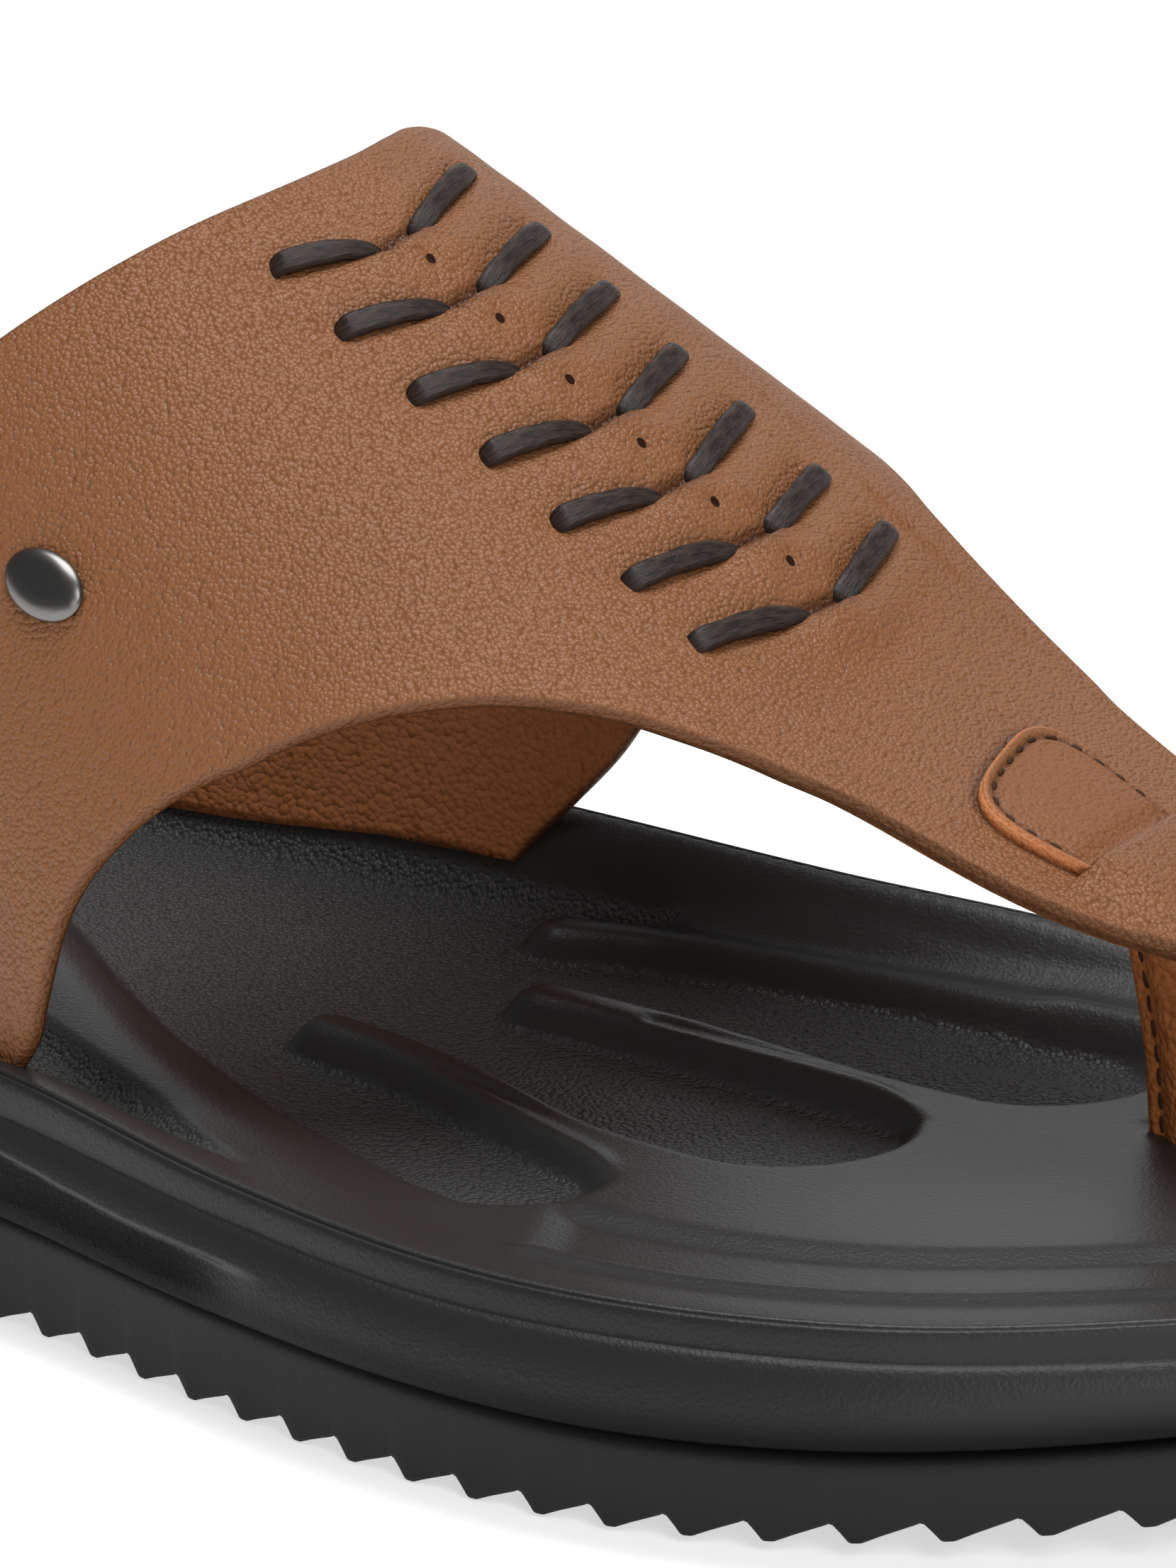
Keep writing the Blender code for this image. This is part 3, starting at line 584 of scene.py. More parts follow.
def edge_run(edge_table):
    """Running length of one edge of the upper."""
    def run(share):
        return running_length(last_section(through(edge_table["round"], edge_table["x"], share), share))
    return run


def lacing_run(share):
    """Running length that grows fast across the lacing, so that columns lie closer there."""
    return np.cumsum(0.15 + bump((share - 0.455) / 0.075))


def vamp_grid():
    """Middle of the vamp's wall: columns round the foot, rows from collar to front edge.

    Rows lie close together at both edges and at the slit, which a row follows.
    """
    share = even_shares(318, edge_run(FRONT_EDGE), edge_run(COLLAR), lacing_run)
    front = through(FRONT_EDGE["round"], FRONT_EDGE["x"], share)
    collar = through(COLLAR["round"], COLLAR["x"], share)
    crossing_y = last_section(np.minimum(front, SLIT_MIDDLE[0]), share)[:, 1]
    strap = window(share, 0.405, 0.025, 0.545, 0.02)
    stop = collar + (front - collar) * 0.8
    stop = stop + (slit_x(crossing_y) - stop) * strap
    close = np.array([0.0, 0.05, 0.2, 0.45, 0.8, 1.2])
    rear_run = np.concatenate([close / 86, np.linspace(1.8 / 86, 1, 184)])
    front_run = np.concatenate([np.linspace(0.012, 1 - 1.8 / 22, 44), 1 - close[::-1] / 22])
    rear = collar[:, None] + (stop - collar)[:, None] * rear_run
    ahead = stop[:, None] + (front - stop)[:, None] * front_run
    x = np.hstack([rear, ahead])
    return last_section(x, np.broadcast_to(share[:, None], x.shape))


def grid_normals(grid):
    """Unit normals of a grid of points, from its differences along rows and columns."""
    along = np.gradient(grid, axis=1)
    across = np.gradient(grid, axis=0)
    return unit(np.cross(along, across))


def row_lengths(grid):
    """Distance along each column from its first row."""
    steps = np.linalg.norm(np.diff(grid, axis=1), axis=2)
    return np.concatenate([np.zeros((len(grid), 1)), np.cumsum(steps, axis=1)], axis=1)


def add_mesh(name, points, faces, finishes, attributes=None, face_finish=None, uv=None):
    """A smooth-shaded mesh piece in the row frame, riding on the part's only body."""
    points = (np.asarray(points, float).reshape(-1, 3) - FRAME_MIDDLE) * MILLIMETRE
    mesh = bpy.data.meshes.new(name)
    mesh.from_pydata(points.tolist(), [], [list(map(int, f)) for f in faces])
    mesh.shade_smooth()
    for finish in finishes:
        mesh.materials.append(finish)
    for key, values in (attributes or {}).items():
        layer = mesh.attributes.new(key, "FLOAT", "POINT")
        layer.data.foreach_set("value", np.ravel(values).astype(np.float32))
    if face_finish is not None:
        mesh.polygons.foreach_set("material_index", np.asarray(face_finish, np.int32))
    if uv is not None:
        corner = np.zeros(len(mesh.loops), np.int32)
        mesh.loops.foreach_get("vertex_index", corner)
        layer = mesh.uv_layers.new(name="UVMap")
        layer.data.foreach_set("uv", np.asarray(uv, np.float32).reshape(-1, 2)[corner].ravel())
    mesh.update()
    piece = bpy.data.objects.new(name, mesh)
    bpy.context.scene.collection.objects.link(piece)
    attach(piece, "root")
    return piece


def sheet_faces(rows, columns, wrap=False, flip=False):
    """Four-sided faces of a grid of points, wrapped round its columns where asked."""
    i, j = np.meshgrid(np.arange(rows - 1), np.arange(columns if wrap else columns - 1), indexing="ij")
    after = (j + 1) % columns
    near = i * columns
    far = near + columns
    faces = np.stack([near + j, far + j, far + after, near + after], axis=-1).reshape(-1, 4)
    return faces[:, ::-1] if flip else faces


def tube_faces(rows, columns, flip=False):
    """Faces of closed sections joined one after another, with both ends capped."""
    sides = sheet_faces(rows, columns, wrap=True, flip=flip).tolist()
    first = list(range(columns))
    end = list(range((rows - 1) * columns, rows * columns))
    return sides + ([first[::-1], end] if flip else [first, end[::-1]])


def outward(points, faces):
    """Whether a closed mesh of three- and four-sided faces points outwards, by its signed volume."""
    points = np.asarray(points, float).reshape(-1, 3)
    corners = np.array([face[:3] for face in faces])
    a, b, c = points[corners[:, 0]], points[corners[:, 1]], points[corners[:, 2]]
    quads = np.array([face[:4] for face in faces if len(face) == 4])
    volume = np.einsum("ij,ij->", a, np.cross(b, c))
    d, e, f = points[quads[:, 0]], points[quads[:, 2]], points[quads[:, 3]]
    return volume + np.einsum("ij,ij->", d, np.cross(e, f)) > 0


def facing_out(points, faces):
    """The faces of a closed mesh, turned round if they point inwards."""
    return faces if outward(points, faces) else [list(face)[::-1] for face in faces]


def repeated(faces, size, count):
    """The faces of one shape of size points, again for each of count such shapes in a row."""
    return [[index + k * size for index in face] for k in range(count) for face in faces]


def ring_points(inset, stations):
    """The outline at an inset as one closed ring: lateral side heel to toe, medial side back."""
    share = np.linspace(0, 1, stations)
    lateral = edge("lateral", inset, share)
    medial = edge("medial", inset, share[1:-1])
    return np.vstack([lateral, medial[::-1]])


def fill_faces(stations, columns, inner_first, ring_first):
    """Faces that fill a ring: columns of points between facing stations, triangles at the ends."""
    station = np.arange(1, stations - 1)[:, None]
    inside = inner_first + (station - 1) * columns + np.arange(columns)
    grid = np.hstack([ring_first + station, inside, ring_first + 2 * stations - 2 - station])
    a, b, c, d = grid[:-1, :-1], grid[:-1, 1:], grid[1:, 1:], grid[1:, :-1]
    faces = np.stack([a, d, c, b], axis=-1).reshape(-1, 4).tolist()
    heel = ring_first
    toe = ring_first + stations - 1
    faces += [[heel, low, high] for low, high in zip(grid[0, :-1], grid[0, 1:])]
    faces += [[low, toe, high] for low, high in zip(grid[-1, :-1], grid[-1, 1:])]
    return faces


def sole_layer(rings, stations, columns, top):
    """Points and faces of rings from the underside up, with the last ring filled by columns.

    top gives the height inside the last ring. The first ring is filled with straight strips.
    """
    count = 2 * stations - 2
    edge_ring = rings[-1]
    lateral = edge_ring[1:stations - 1, None, :2]
    medial = edge_ring[:stations - 1:-1, None, :2]
    across = (np.arange(columns) + 1.0)[None, :, None] / (columns + 1)
    inside = lateral + (medial - lateral) * across
    inside = np.concatenate([inside, top(inside[..., 0], inside[..., 1])[..., None]], axis=2).reshape(-1, 3)
    points = np.vstack([np.vstack(rings), inside])
    faces = sheet_faces(len(rings), count, wrap=True, flip=True).tolist()
    faces += fill_faces(stations, columns, len(rings) * count, (len(rings) - 1) * count)
    under = fill_faces(stations, 0, 0, 0)
    faces += [face[::-1] for face in under]
    return points, faces


def add_tread(finish):
    """Ripple tread: a rounded saw tooth along x, straight across, under battered side walls."""
    share = np.linspace(0, 1, 1200)
    lateral = edge("lateral", TREAD_INSET, share)
    medial = edge("medial", TREAD_INSET, share)
    heel_x = lateral[0, 0] + 0.02
    toe_x = lateral[-1, 0] - 0.02
    teeth = np.arange(FIRST_TOOTH, toe_x - TOOTH_DROP - TOOTH_LAND, TOOTH_PITCH)
    crest = TOOTH_PITCH - TOOTH_DROP
    profile = table(
        "x z",
        (-0.1, 0.14), (0.1, 0.02), (0.3, 0.0), (TOOTH_LAND - 0.2, 0.0), (TOOTH_LAND, 0.04),
        (TOOTH_LAND + 1.4, TOOTH_DEPTH * 0.36), (crest - 0.5, TOOTH_DEPTH - 0.2),
        (crest - 0.15, TOOTH_DEPTH - 0.02), (crest + 0.2, TOOTH_DEPTH - 0.15),
        (crest + 0.8, TOOTH_DEPTH * 0.52),
    )
    x = (teeth[:, None] + profile["x"]).ravel()
    z = np.broadcast_to(profile["z"], (len(teeth), len(profile["z"]))).ravel()
    keep = x < toe_x - 0.5
    x = x[keep]
    z = z[keep]
    ends = np.array([0.0, 0.02, 0.07, 0.16, 0.3, 0.5, 0.75])
    heel = heel_x + (x[0] - heel_x) * ends
    toe = toe_x + (x[-1] - toe_x) * ends[::-1]
    x = np.concatenate([heel, x, toe])
    z = np.concatenate([TOOTH_DEPTH * 0.5 + 0 * heel, z, TOOTH_DEPTH * 0.6 + 0 * toe]) + lift(x)
    left = np.interp(x, lateral[:, 0], lateral[:, 1])
    right = np.interp(x, medial[:, 0], medial[:, 1])
    middle = (left + right) / 2
    half = (right - left) / 2
    heights = {"tooth": z, "valley": lift(x) + TOOTH_DEPTH, "groove": level("groove", x, 0 * x) - 0.1}
    side_rows = (
        (-0.75, "tooth", 0.0), (-0.15, "tooth", 0.06), (0.0, "tooth", 0.35), (0.1, "valley", 0.45),
        (0.5, "groove", -2.9), (0.55, "groove", -2.3), (0.35, "groove", -1.75), (-0.2, "groove", -1.3),
        (-1.2, "groove", -1.05), (-2.6, "groove", -0.95), (-3.2, "groove", 0.0),
    )
    corners = [(1, *row) for row in side_rows] + [(-1, *row) for row in side_rows[::-1]]
    loops = [
        np.stack([x, middle + side * np.maximum(half + out, 0.3), heights[name] + rise], axis=1)
        for side, out, name, rise in corners
    ]
    points = np.stack(loops, axis=1)
    faces = facing_out(points, tube_faces(len(x), len(corners)))
    piece = add_mesh("tread", points, faces, [finish])
    piece.data.set_sharp_from_angle(angle=np.radians(50))
    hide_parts("outsole")


def add_midsole(finish):
    """Moulded wall: one profile carried round the outline.

    Between the rows of WALL the profile runs on a Catmull-Rom curve. On the lateral side, behind the
    ball, the lower wall is set back under a crease that fades out to the front.
    """
    stations = 420
    rows = [(inset, low, high, share) for low, high, places in WALL for inset, share in places]
    ring = ring_points(0.0, stations)
    heights = {name: level(name, ring[:, 0], ring[:, 1]) for name in ("groove", "bead", "rim", "cradle")}
    height = np.array([heights[a] + share * (heights[b] - heights[a]) for _, a, b, share in rows])
    inset = np.broadcast_to(np.array([row[0] for row in rows])[:, None], height.shape)
    steps = np.arange(0, len(rows) - 1 + 1e-6, 0.25)
    i = np.clip(np.floor(steps).astype(int), 0, len(rows) - 2)
    t = (steps - i)[:, None]

    def curve(values):
        before = values[np.clip(i - 1, 0, None)]
        a = values[i]
        b = values[i + 1]
        after = values[np.clip(i + 2, None, len(rows) - 1)]
        pull_a = (b - before) / 2
        pull_b = (after - a) / 2
        return (
            a * (1 + 2 * t) * (1 - t) ** 2 + b * t * t * (3 - 2 * t)
            + pull_a * t * (1 - t) ** 2 - pull_b * t * t * (1 - t)
        )

    inset = curve(inset)
    height = curve(height)
    on_side = smooth_step((-ring[:, 1] - 10) / 20) * smooth_step((29 - ring[:, 0]) / 14)
    crease = heights["groove"] + 5.6 + 2.2 * smooth_step((12 - ring[:, 0]) / 45)
    recover = smooth_step((height - heights["groove"]) / (crease - heights["groove"]))
    below = smooth_step((crease - height) / 0.9 + 0.5)
    inset = inset + CREASE_SET_BACK * on_side * below * recover * (inset < 2)
    share = np.linspace(0, 1, stations)
    rings = []
    for row_inset, row_height in zip(inset, height):
        lateral = edge("lateral", row_inset[:stations], share)
        medial = edge("medial", row_inset[stations:][::-1], share[1:-1])
        rings.append(np.column_stack([np.vstack([lateral, medial[::-1]]), row_height]))
    points, faces = sole_layer(rings, stations, 1, lambda x, y: level("cradle", x, y))
    # Painted shade: the wall's base is drawn darker and less glossy towards the groove, against the light
    # that the pale floor throws onto its lower part.
    above_groove = (height - heights["groove"]) / (heights["bead"] - heights["groove"])
    lower_wall_shade = np.zeros(len(points))
    lower_wall_shade[:height.size] = (1 - smooth_step((above_groove - 0.05) / 0.6)).ravel()
    piece = add_mesh("midsole_wall", points, facing_out(points, faces), [finish], {"lower_wall_shade": lower_wall_shade})
    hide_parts("midsole")


def add_footbed(finish):
    """Moulded insole: rings from its underside up its side, then the relief of its top."""
    stations = 400
    outer = ring_points(FOOTBED_INSET, stations)
    x, y = outer.T
    rim = level("rim", x, y)
    rings = [np.column_stack([outer, level("cradle", x, y)])]
    for inset, drop in ((FOOTBED_INSET, 2.0), (FOOTBED_INSET, 0.6), (FOOTBED_INSET + 0.1, 0.2)):
        rings.append(np.column_stack([ring_points(inset, stations), rim - drop]))
    grain = [np.zeros(len(outer))] * len(rings)
    for inset in (4.4, 4.8, 5.3, *np.arange(5.9, 16.0, 0.65)):
        ring = ring_points(inset, stations)
        height, share = footbed_relief(*ring.T)
        rings.append(np.column_stack([ring, height]))
        grain.append(share)
    points, faces = sole_layer(rings, stations, 116, lambda px, py: footbed_relief(px, py)[0])
    inside = points[len(rings) * len(outer):]
    grain.append(footbed_relief(inside[:, 0], inside[:, 1])[1])
    piece = add_mesh(
        "footbed_top", points, facing_out(points, faces), [finish], {"grain": np.concatenate(grain)}
    )
    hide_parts("footbed")


def add_vamp(finish, lining):
    """Leather vamp: the last's skin between collar and front edge, with thickness.

    Each column is a closed loop, out along the grain side and back along the lining. Half the
    thickness follows a quarter circle to nothing at both edges, so the edges are round. Pleats and
    the slit's lip are added square to the skin on the grain side.
    """
    skin = vamp_grid()
    normal = grid_normals(skin)
    run = row_lengths(skin)
    from_edge = np.minimum(run, run[:, -1:] - run)
    roundness = np.clip(from_edge / 1.1, 0, 1)
    half = LEATHER / 2 * np.sqrt(np.clip(1 - (1 - roundness) ** 2, 0.002, 1))
    x, y, z = np.moveaxis(skin, -1, 0)
    on_top = smooth_step((z - 42) / 8)
    fold, shade = pleats(x, y)
    lip = slit_lip(x, y)
    outer = skin + normal * (half + (fold * on_top + lip) * roundness)[..., None]
    row = np.arange(skin.shape[1])
    at_edge = (row < 8) | (row >= len(row) - 8)
    kept = row[at_edge | ((row - 8) % 6 == 0)]
    inner = (skin - normal * half[..., None])[:, kept][:, ::-1]
    loop = np.concatenate([outer, inner], axis=1)
    columns, length = loop.shape[:2]
    faces = sheet_faces(columns, length, wrap=True)
    lined = (faces % length).min(axis=1) >= outer.shape[1]
    first = list(range(length))
    last = list(range((columns - 1) * length, columns * length))
    faces = faces.tolist() + [first, last[::-1]]
    face_finish = np.concatenate([lined, [False, False]]).astype(int)
    raw = 1 - smooth_step((from_edge - 0.15) / 0.75)
    raw_loop = np.concatenate([raw * 0.55, raw[:, kept][:, ::-1]], axis=1)
    # Painted shade, carried by the fold attribute: the pleats' folds, a line round the tab and the slit under
    # the lip are darkened.
    ahead = x - slit_x(y)
    tab_edge_shade = 0.75 * bump((tab_inside(x, y) + 0.2) / 0.4) * (ahead < 0.5) * (ahead > -16)
    slit_shade = bump((ahead - 0.1) / 0.35) * (np.abs(y - SLIT_MIDDLE[1]) < SLIT_HALF_WIDTH)
    shade = np.maximum(shade * on_top, np.maximum(tab_edge_shade, slit_shade) * smooth_step((z - 38) / 3))
    shade_loop = np.concatenate([shade, np.zeros(inner.shape[:2])], axis=1)
    good = outward(loop, faces[:-2])
    faces = faces if good else [face[::-1] for face in faces]
    piece = add_mesh(
        "vamp", loop, faces, [finish, lining], {"raw_edge": raw_loop, "fold": shade_loop}, face_finish
    )
    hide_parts("upper")


def add_toe_post(finish, thread):
    """Folded strap: a drop-shaped section, thin at the sewn rear edge and full at the front.

    The section is carried from the footbed to the underside of the upper, with small cross creases.
    """
    rows = 70
    sides = 72
    turn = np.linspace(0, 2 * np.pi, sides, endpoint=False)
    share = np.linspace(0, 1, rows)[:, None]
    row = columns_at(POST, "share", share)
    along = np.cos(turn)[None, :]
    fullness = 0.62 + 0.38 * smooth_step((along + 0.62) / 0.5)
    seam = 1 - 0.14 * bump((along + 0.62) / 0.1)
    across = signed_power(np.sin(turn), 0.6)
    crease = 0.10 * np.sin(share * 46 + 2.2 * along) * bump((share - 0.55) / 0.4) * np.abs(across)
    x = row["x"] + row["half_x"] * signed_power(along, 0.8)
    y = row["y"] + (row["half_y"] * fullness * seam + crease) * across
    low = footbed_relief(row["x"], row["y"])[0] - 0.5
    high = above_skin(x, y, -LEATHER / 2 + 0.4)[..., 2]
    points = np.stack([x, y, low + (high - low) * share], axis=-1)
    piece = add_mesh("toe_post_strap", points, facing_out(points, tube_faces(rows, sides)), [finish])
    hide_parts("toe_post")
    at = np.linspace(0.06, 0.93, 11)
    rows_at = columns_at(POST, "share", at)
    seam_x = rows_at["x"] - rows_at["half_x"] * 0.66
    for side, name in ((-1, "lateral"), (1, "medial")):
        seam_y = rows_at["y"] + side * (rows_at["half_y"] * 0.62 * 0.86 * 0.86 + 0.05)
        low_z = footbed_relief(rows_at["x"], rows_at["y"])[0] - 0.5
        high_z = above_skin(seam_x, seam_y, -LEATHER / 2)[..., 2]
        line = np.stack([seam_x, seam_y, low_z + (high_z - low_z) * at], axis=1)
        out = np.tile([0.0, float(side), 0.0], (len(line), 1))
        add_stitches(f"post_stitches_{name}", line, out, thread, 1.9, 0.24)


def add_stitches(name, line, out, finish, length, radius):
    """A row of stitches: at each point of a line a capsule along the line, half sunk.

    A capsule's section is a circle whose radius follows half an ellipse along its length.
    """
    along = unit(np.gradient(line, axis=0))
    side = unit(np.cross(out, along))
    up = np.cross(along, side)
    u = np.linspace(-1, 1, 9)
    turn = np.linspace(0, 2 * np.pi, 10, endpoint=False)
    thick = radius * np.sqrt(np.clip(1 - np.abs(u) ** 3, 0.01, 1))
    ring = np.cos(turn)[None, :, None] * side[:, None, None, :]
    ring = ring + np.sin(turn)[None, :, None] * up[:, None, None, :]
    droop = -0.35 * radius * np.abs(u) ** 3
    points = (
        line[:, None, None, :] + along[:, None, None, :] * (u * length / 2)[None, :, None, None]
        + up[:, None, None, :] * droop[None, :, None, None]
        + ring * thick[None, :, None, None]
    )
    one = facing_out(points[0], tube_faces(len(u), len(turn)))
    faces = repeated(one, len(u) * len(turn), len(line))
    piece = add_mesh(name, points, faces, [finish])


def tab_axes():
    """The tab's run from the slit to its rear end, that run's length, and the direction across it."""
    run = np.subtract(TAB_REAR, SLIT_MIDDLE)
    length = np.linalg.norm(run)
    return run / length, length, np.array([-run[1], run[0]]) / length


def tab_points(back, aside):
    """Plan points at shares back from the slit (0) to the rear end (1) and aside from the middle line.

    The rear end is skewed towards the medial side, and the tab is narrower at the slit.
    """
    forward, length, across = tab_axes()
    behind = back * length * (1 - TAB_SKEW * aside)
    beside = aside * TAB_HALF_WIDTH * (1 - TAB_TAPER * (1 - back))
    x = SLIT_MIDDLE[0] + behind * forward[0] + beside * across[0]
    y = SLIT_MIDDLE[1] + behind * forward[1] + beside * across[1]
    return x, y


def tab_inside(x, y):
    """How far points lie inside the tab's edge, roughly in millimetres; negative outside."""
    forward, length, across = tab_axes()
    off_x = x - SLIT_MIDDLE[0]
    off_y = y - SLIT_MIDDLE[1]
    back = (off_x * forward[0] + off_y * forward[1]) / length
    beside = (off_x * across[0] + off_y * across[1]) / TAB_HALF_WIDTH
    aside = beside / (1 - TAB_TAPER * (1 - np.clip(back, 0, 1)))
    back = np.clip(back / (1 - TAB_SKEW * np.clip(aside, -1.5, 1.5)), 0, None)
    return (1 - (back ** TAB_POWER + np.abs(aside) ** TAB_POWER) ** (1 / TAB_POWER)) * TAB_HALF_WIDTH


def add_post_tab(finish, thread):
    """End of the post strap, turned back on the upper: a strip with a round rear end, sewn down.

    Its plan is half a superellipse behind the slit. Its thickness follows a quarter circle at the
    edge, dips at the stitching and swells a little between.
    """
    _, length, _ = tab_axes()
    along = np.concatenate([np.linspace(-0.2, 0.8, 44), 1 - 0.2 * np.linspace(1, 0.1, 30)[1:] ** 2])
    across = np.sin(np.linspace(-np.pi / 2, np.pi / 2, 61))
    a, c = np.meshgrid(along, across, indexing="ij")
    half = (1 - np.clip(a, 0, 1) ** TAB_POWER) ** (1 / TAB_POWER)
    x, y = tab_points(a, c * half)
    inside = tab_inside(x, y)
    rounded = quarter_circle(inside / 0.35)
    dip = 0.28 * bump((inside - TAB_SEAM) / 0.28)
    swell = 0.3 * smooth_step((inside - 1.2) / 4)
    dive = 0.4 * (1 - smooth_step(a * length / 2.4)) * smooth_step((inside - 0.3) / 1.6)
    base = LEATHER / 2 - 0.15
    top = above_skin(x, y, base + TAB_THICKNESS * (0.75 + 0.25 * rounded) - dip + swell - dive)
    bottom = above_skin(x, y, base - 0.1 + 0 * a)
    rows, columns = a.shape
    loop = np.concatenate([top, bottom[:, ::-1]], axis=1)
    faces = facing_out(loop, sheet_faces(rows, 2 * columns, wrap=True).tolist() + tab_caps(rows, columns))
    raw = 1 - smooth_step((inside - 0.1) / 0.25)
    raw_loop = np.concatenate([raw, np.ones_like(raw)], axis=1)
    # Painted shade along the stitch groove, passed on as the fold attribute.
    groove = 0.55 * bump((inside - TAB_SEAM) / 0.22)
    stitch_groove_shade = np.concatenate([groove, np.zeros_like(groove)], axis=1)
    piece = add_mesh("post_tab_end", loop, faces, [finish], {"raw_edge": raw_loop, "fold": stitch_groove_shade})
    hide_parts("post_tab")
    turn = np.linspace(0.03, np.pi - 0.03, 300)
    seam = 1 - TAB_SEAM / TAB_HALF_WIDTH
    back = seam * np.sin(turn) ** (2 / TAB_POWER)
    aside = seam * signed_power(np.cos(turn), 2 / TAB_POWER)
    line = above_skin(*tab_points(back, aside), base + TAB_THICKNESS - 0.14)
    run = running_length(line)
    at = np.arange(1.5, run[-1] - 1.0, 2.5)
    line = np.stack([np.interp(at, run, line[:, k]) for k in range(3)], axis=1)
    add_stitches("tab_stitches", line, skin_normal(line[:, 0], line[:, 1]), thread, 1.3, 0.22)


def tab_caps(rows, columns):
    """Strips that close the first and the last row of a loop of two facing sheets."""
    width = 2 * columns
    k = np.arange(columns - 1)
    first = np.stack([k, k + 1, width - 2 - k, width - 1 - k], axis=1)
    last = first[:, ::-1] + (rows - 1) * width
    return first.tolist() + last.tolist()


def add_lace_bar(name, node, start, end, shape, finish):
    """A bar of lacing: a rounded strip arched off the leather that dives into a hole at each end.

    shape gives, for the start and then the end, the share of the length over which the bar dives and
    the width that is left there. The section is a superellipse, and the bar's edge wavers slightly.
    """
    rows = 48
    sides = 28
    share = np.linspace(0, 1, rows)[:, None]
    run = np.subtract(end, start)
    length = np.linalg.norm(run)
    side = np.array([-run[1], run[0]]) / length
    turn = np.linspace(0, 2 * np.pi, sides, endpoint=False)[None, :]
    over = signed_power(np.cos(turn), 0.75)
    high = signed_power(np.sin(turn), 0.75)
    (dive_start, left_start), (dive_end, left_end) = shape
    rise_start = quarter_circle(share / dive_start)
    rise_end = quarter_circle((1 - share) / dive_end)
    waver = 1 + 0.05 * np.sin(share * 9 + length) + 0.03 * np.sin(share * 23 + 2 * length)
    narrow = (left_start + (1 - left_start) * rise_start) * (left_end + (1 - left_end) * rise_end)
    width = LACE_WIDTH / 2 * narrow * waver
    x = start[0] + share * run[0] + over * width * side[0]
    y = start[1] + share * run[1] + over * width * side[1]
    height = LEATHER / 2 - 1.1 + 1.35 * rise_start * rise_end + 0.2 * np.sin(np.pi * share)
    points = above_skin(x, y, height + high * LACE_THICKNESS / 2 * (0.6 + 0.4 * narrow))
    uv = np.stack(np.broadcast_arrays(share * length / 10, (over + high) * LACE_WIDTH / 20), axis=-1)
    faces = facing_out(points, tube_faces(rows, sides))
    piece = add_mesh(name, points, faces, [finish], uv=uv)
    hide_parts(node)


def add_lacing(finish):
    """The row of chevrons along the instep."""
    lateral_shape = ((0.14, 0.75), (0.5, 0.35))
    medial_shape = ((0.34, 0.85), (0.14, 0.8))
    for k in range(CHEVRONS):
        ends = np.array([LACING[name][k] for name in LACING]).reshape(4, 2)
        add_lace_bar(f"lacing_lateral_{k + 1}", f"lace_lateral_{k + 1}", *ends[:2], lateral_shape, finish)
        add_lace_bar(f"lacing_medial_{k + 1}", f"lace_medial_{k + 1}", *ends[2:], medial_shape, finish)


def add_pricks(finish):
    """Small dark pricks in the middle of the pleats: shallow discs on the leather, painted shade for the
    pricks' holes.
    """
    fold_x, fold_y = fold_middles()
    x = fold_x[:-1] + 0.42 * np.diff(fold_x)
    y = fold_y[:-1] + 0.42 * np.diff(fold_y)
    turn = np.linspace(0, 2 * np.pi, 16, endpoint=False)
    radius = np.array([0.04, 0.3, 0.46, 0.5])
    px = x[:, None, None] + radius[:, None] * np.cos(turn)
    py = y[:, None, None] + radius[:, None] * np.sin(turn)
    height = LEATHER / 2 + pleats(px, py)[0] + np.array([0.05, 0.05, 0.04, -0.2])[:, None]
    points = above_skin(px, py, height)
    one = facing_out(points[0], tube_faces(len(radius), len(turn)))
    faces = repeated(one, len(radius) * len(turn), len(x))
    piece = add_mesh("pleat_pricks", points, faces, [finish])


def add_stud(finish):
    """Plain oval stud: half an ellipsoid with a narrow foot, square to the vamp's outer side."""
    step = 0.01
    at_x = np.array([STUD_X - 1, STUD_X, STUD_X + 1, STUD_X, STUD_X])
    at_round = np.array([STUD_ROUND, STUD_ROUND, STUD_ROUND, STUD_ROUND - step, STUD_ROUND + step])
    behind, middle, ahead, below, above = last_section(at_x, at_round)
    along = unit(ahead - behind)
    out = unit(np.cross(along, above - below))
    up = np.cross(out, along)
    turn = np.linspace(0, 2 * np.pi, 56, endpoint=False)
    profile = table(
        "size height",
        (0.93, -0.3), (0.93, 0.1), (0.985, 0.18), (1.0, 0.3), (0.985, 0.42), (0.93, 0.58), (0.8, 0.78),
        (0.6, 0.92), (0.35, 0.985), (0.1, 1.0),
    )
    oval = STUD_HALF_LENGTH * np.outer(np.cos(turn), along) + STUD_HALF_WIDTH * np.outer(np.sin(turn), up)
    points = middle + profile["size"][:, None, None] * oval
    points = points + out * (LEATHER / 2 + profile["height"] * STUD_HEIGHT)[:, None, None]
    faces = facing_out(points, tube_faces(len(profile["size"]), len(turn)))
    piece = add_mesh("plain_stud", points, faces, [finish])
    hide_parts("stud")


def new_finish(name, colour, roughness, metallic=0.0, specular=0.5):
    """A Principled material, with its node tree and shader."""
    finish = bpy.data.materials.new(name)
    finish.use_nodes = True
    tree = finish.node_tree
    shader = tree.nodes["Principled BSDF"]
    shader.inputs["Base Color"].default_value = (*colour, 1.0)
    shader.inputs["Roughness"].default_value = roughness
    shader.inputs["Metallic"].default_value = metallic
    shader.inputs["Specular IOR Level"].default_value = specular
    return finish, tree, shader


def add_node(tree, kind, **values):
    """A node with its properties and inputs set. A socket is linked to the input that it is given for."""
    node = tree.nodes.new(kind)
    for key, value in values.items():
        if hasattr(node, key):
            setattr(node, key, value)
        elif isinstance(value, bpy.types.NodeSocket):
            tree.links.new(value, node.inputs[key])
        else:
            node.inputs[key].default_value = value
    return node


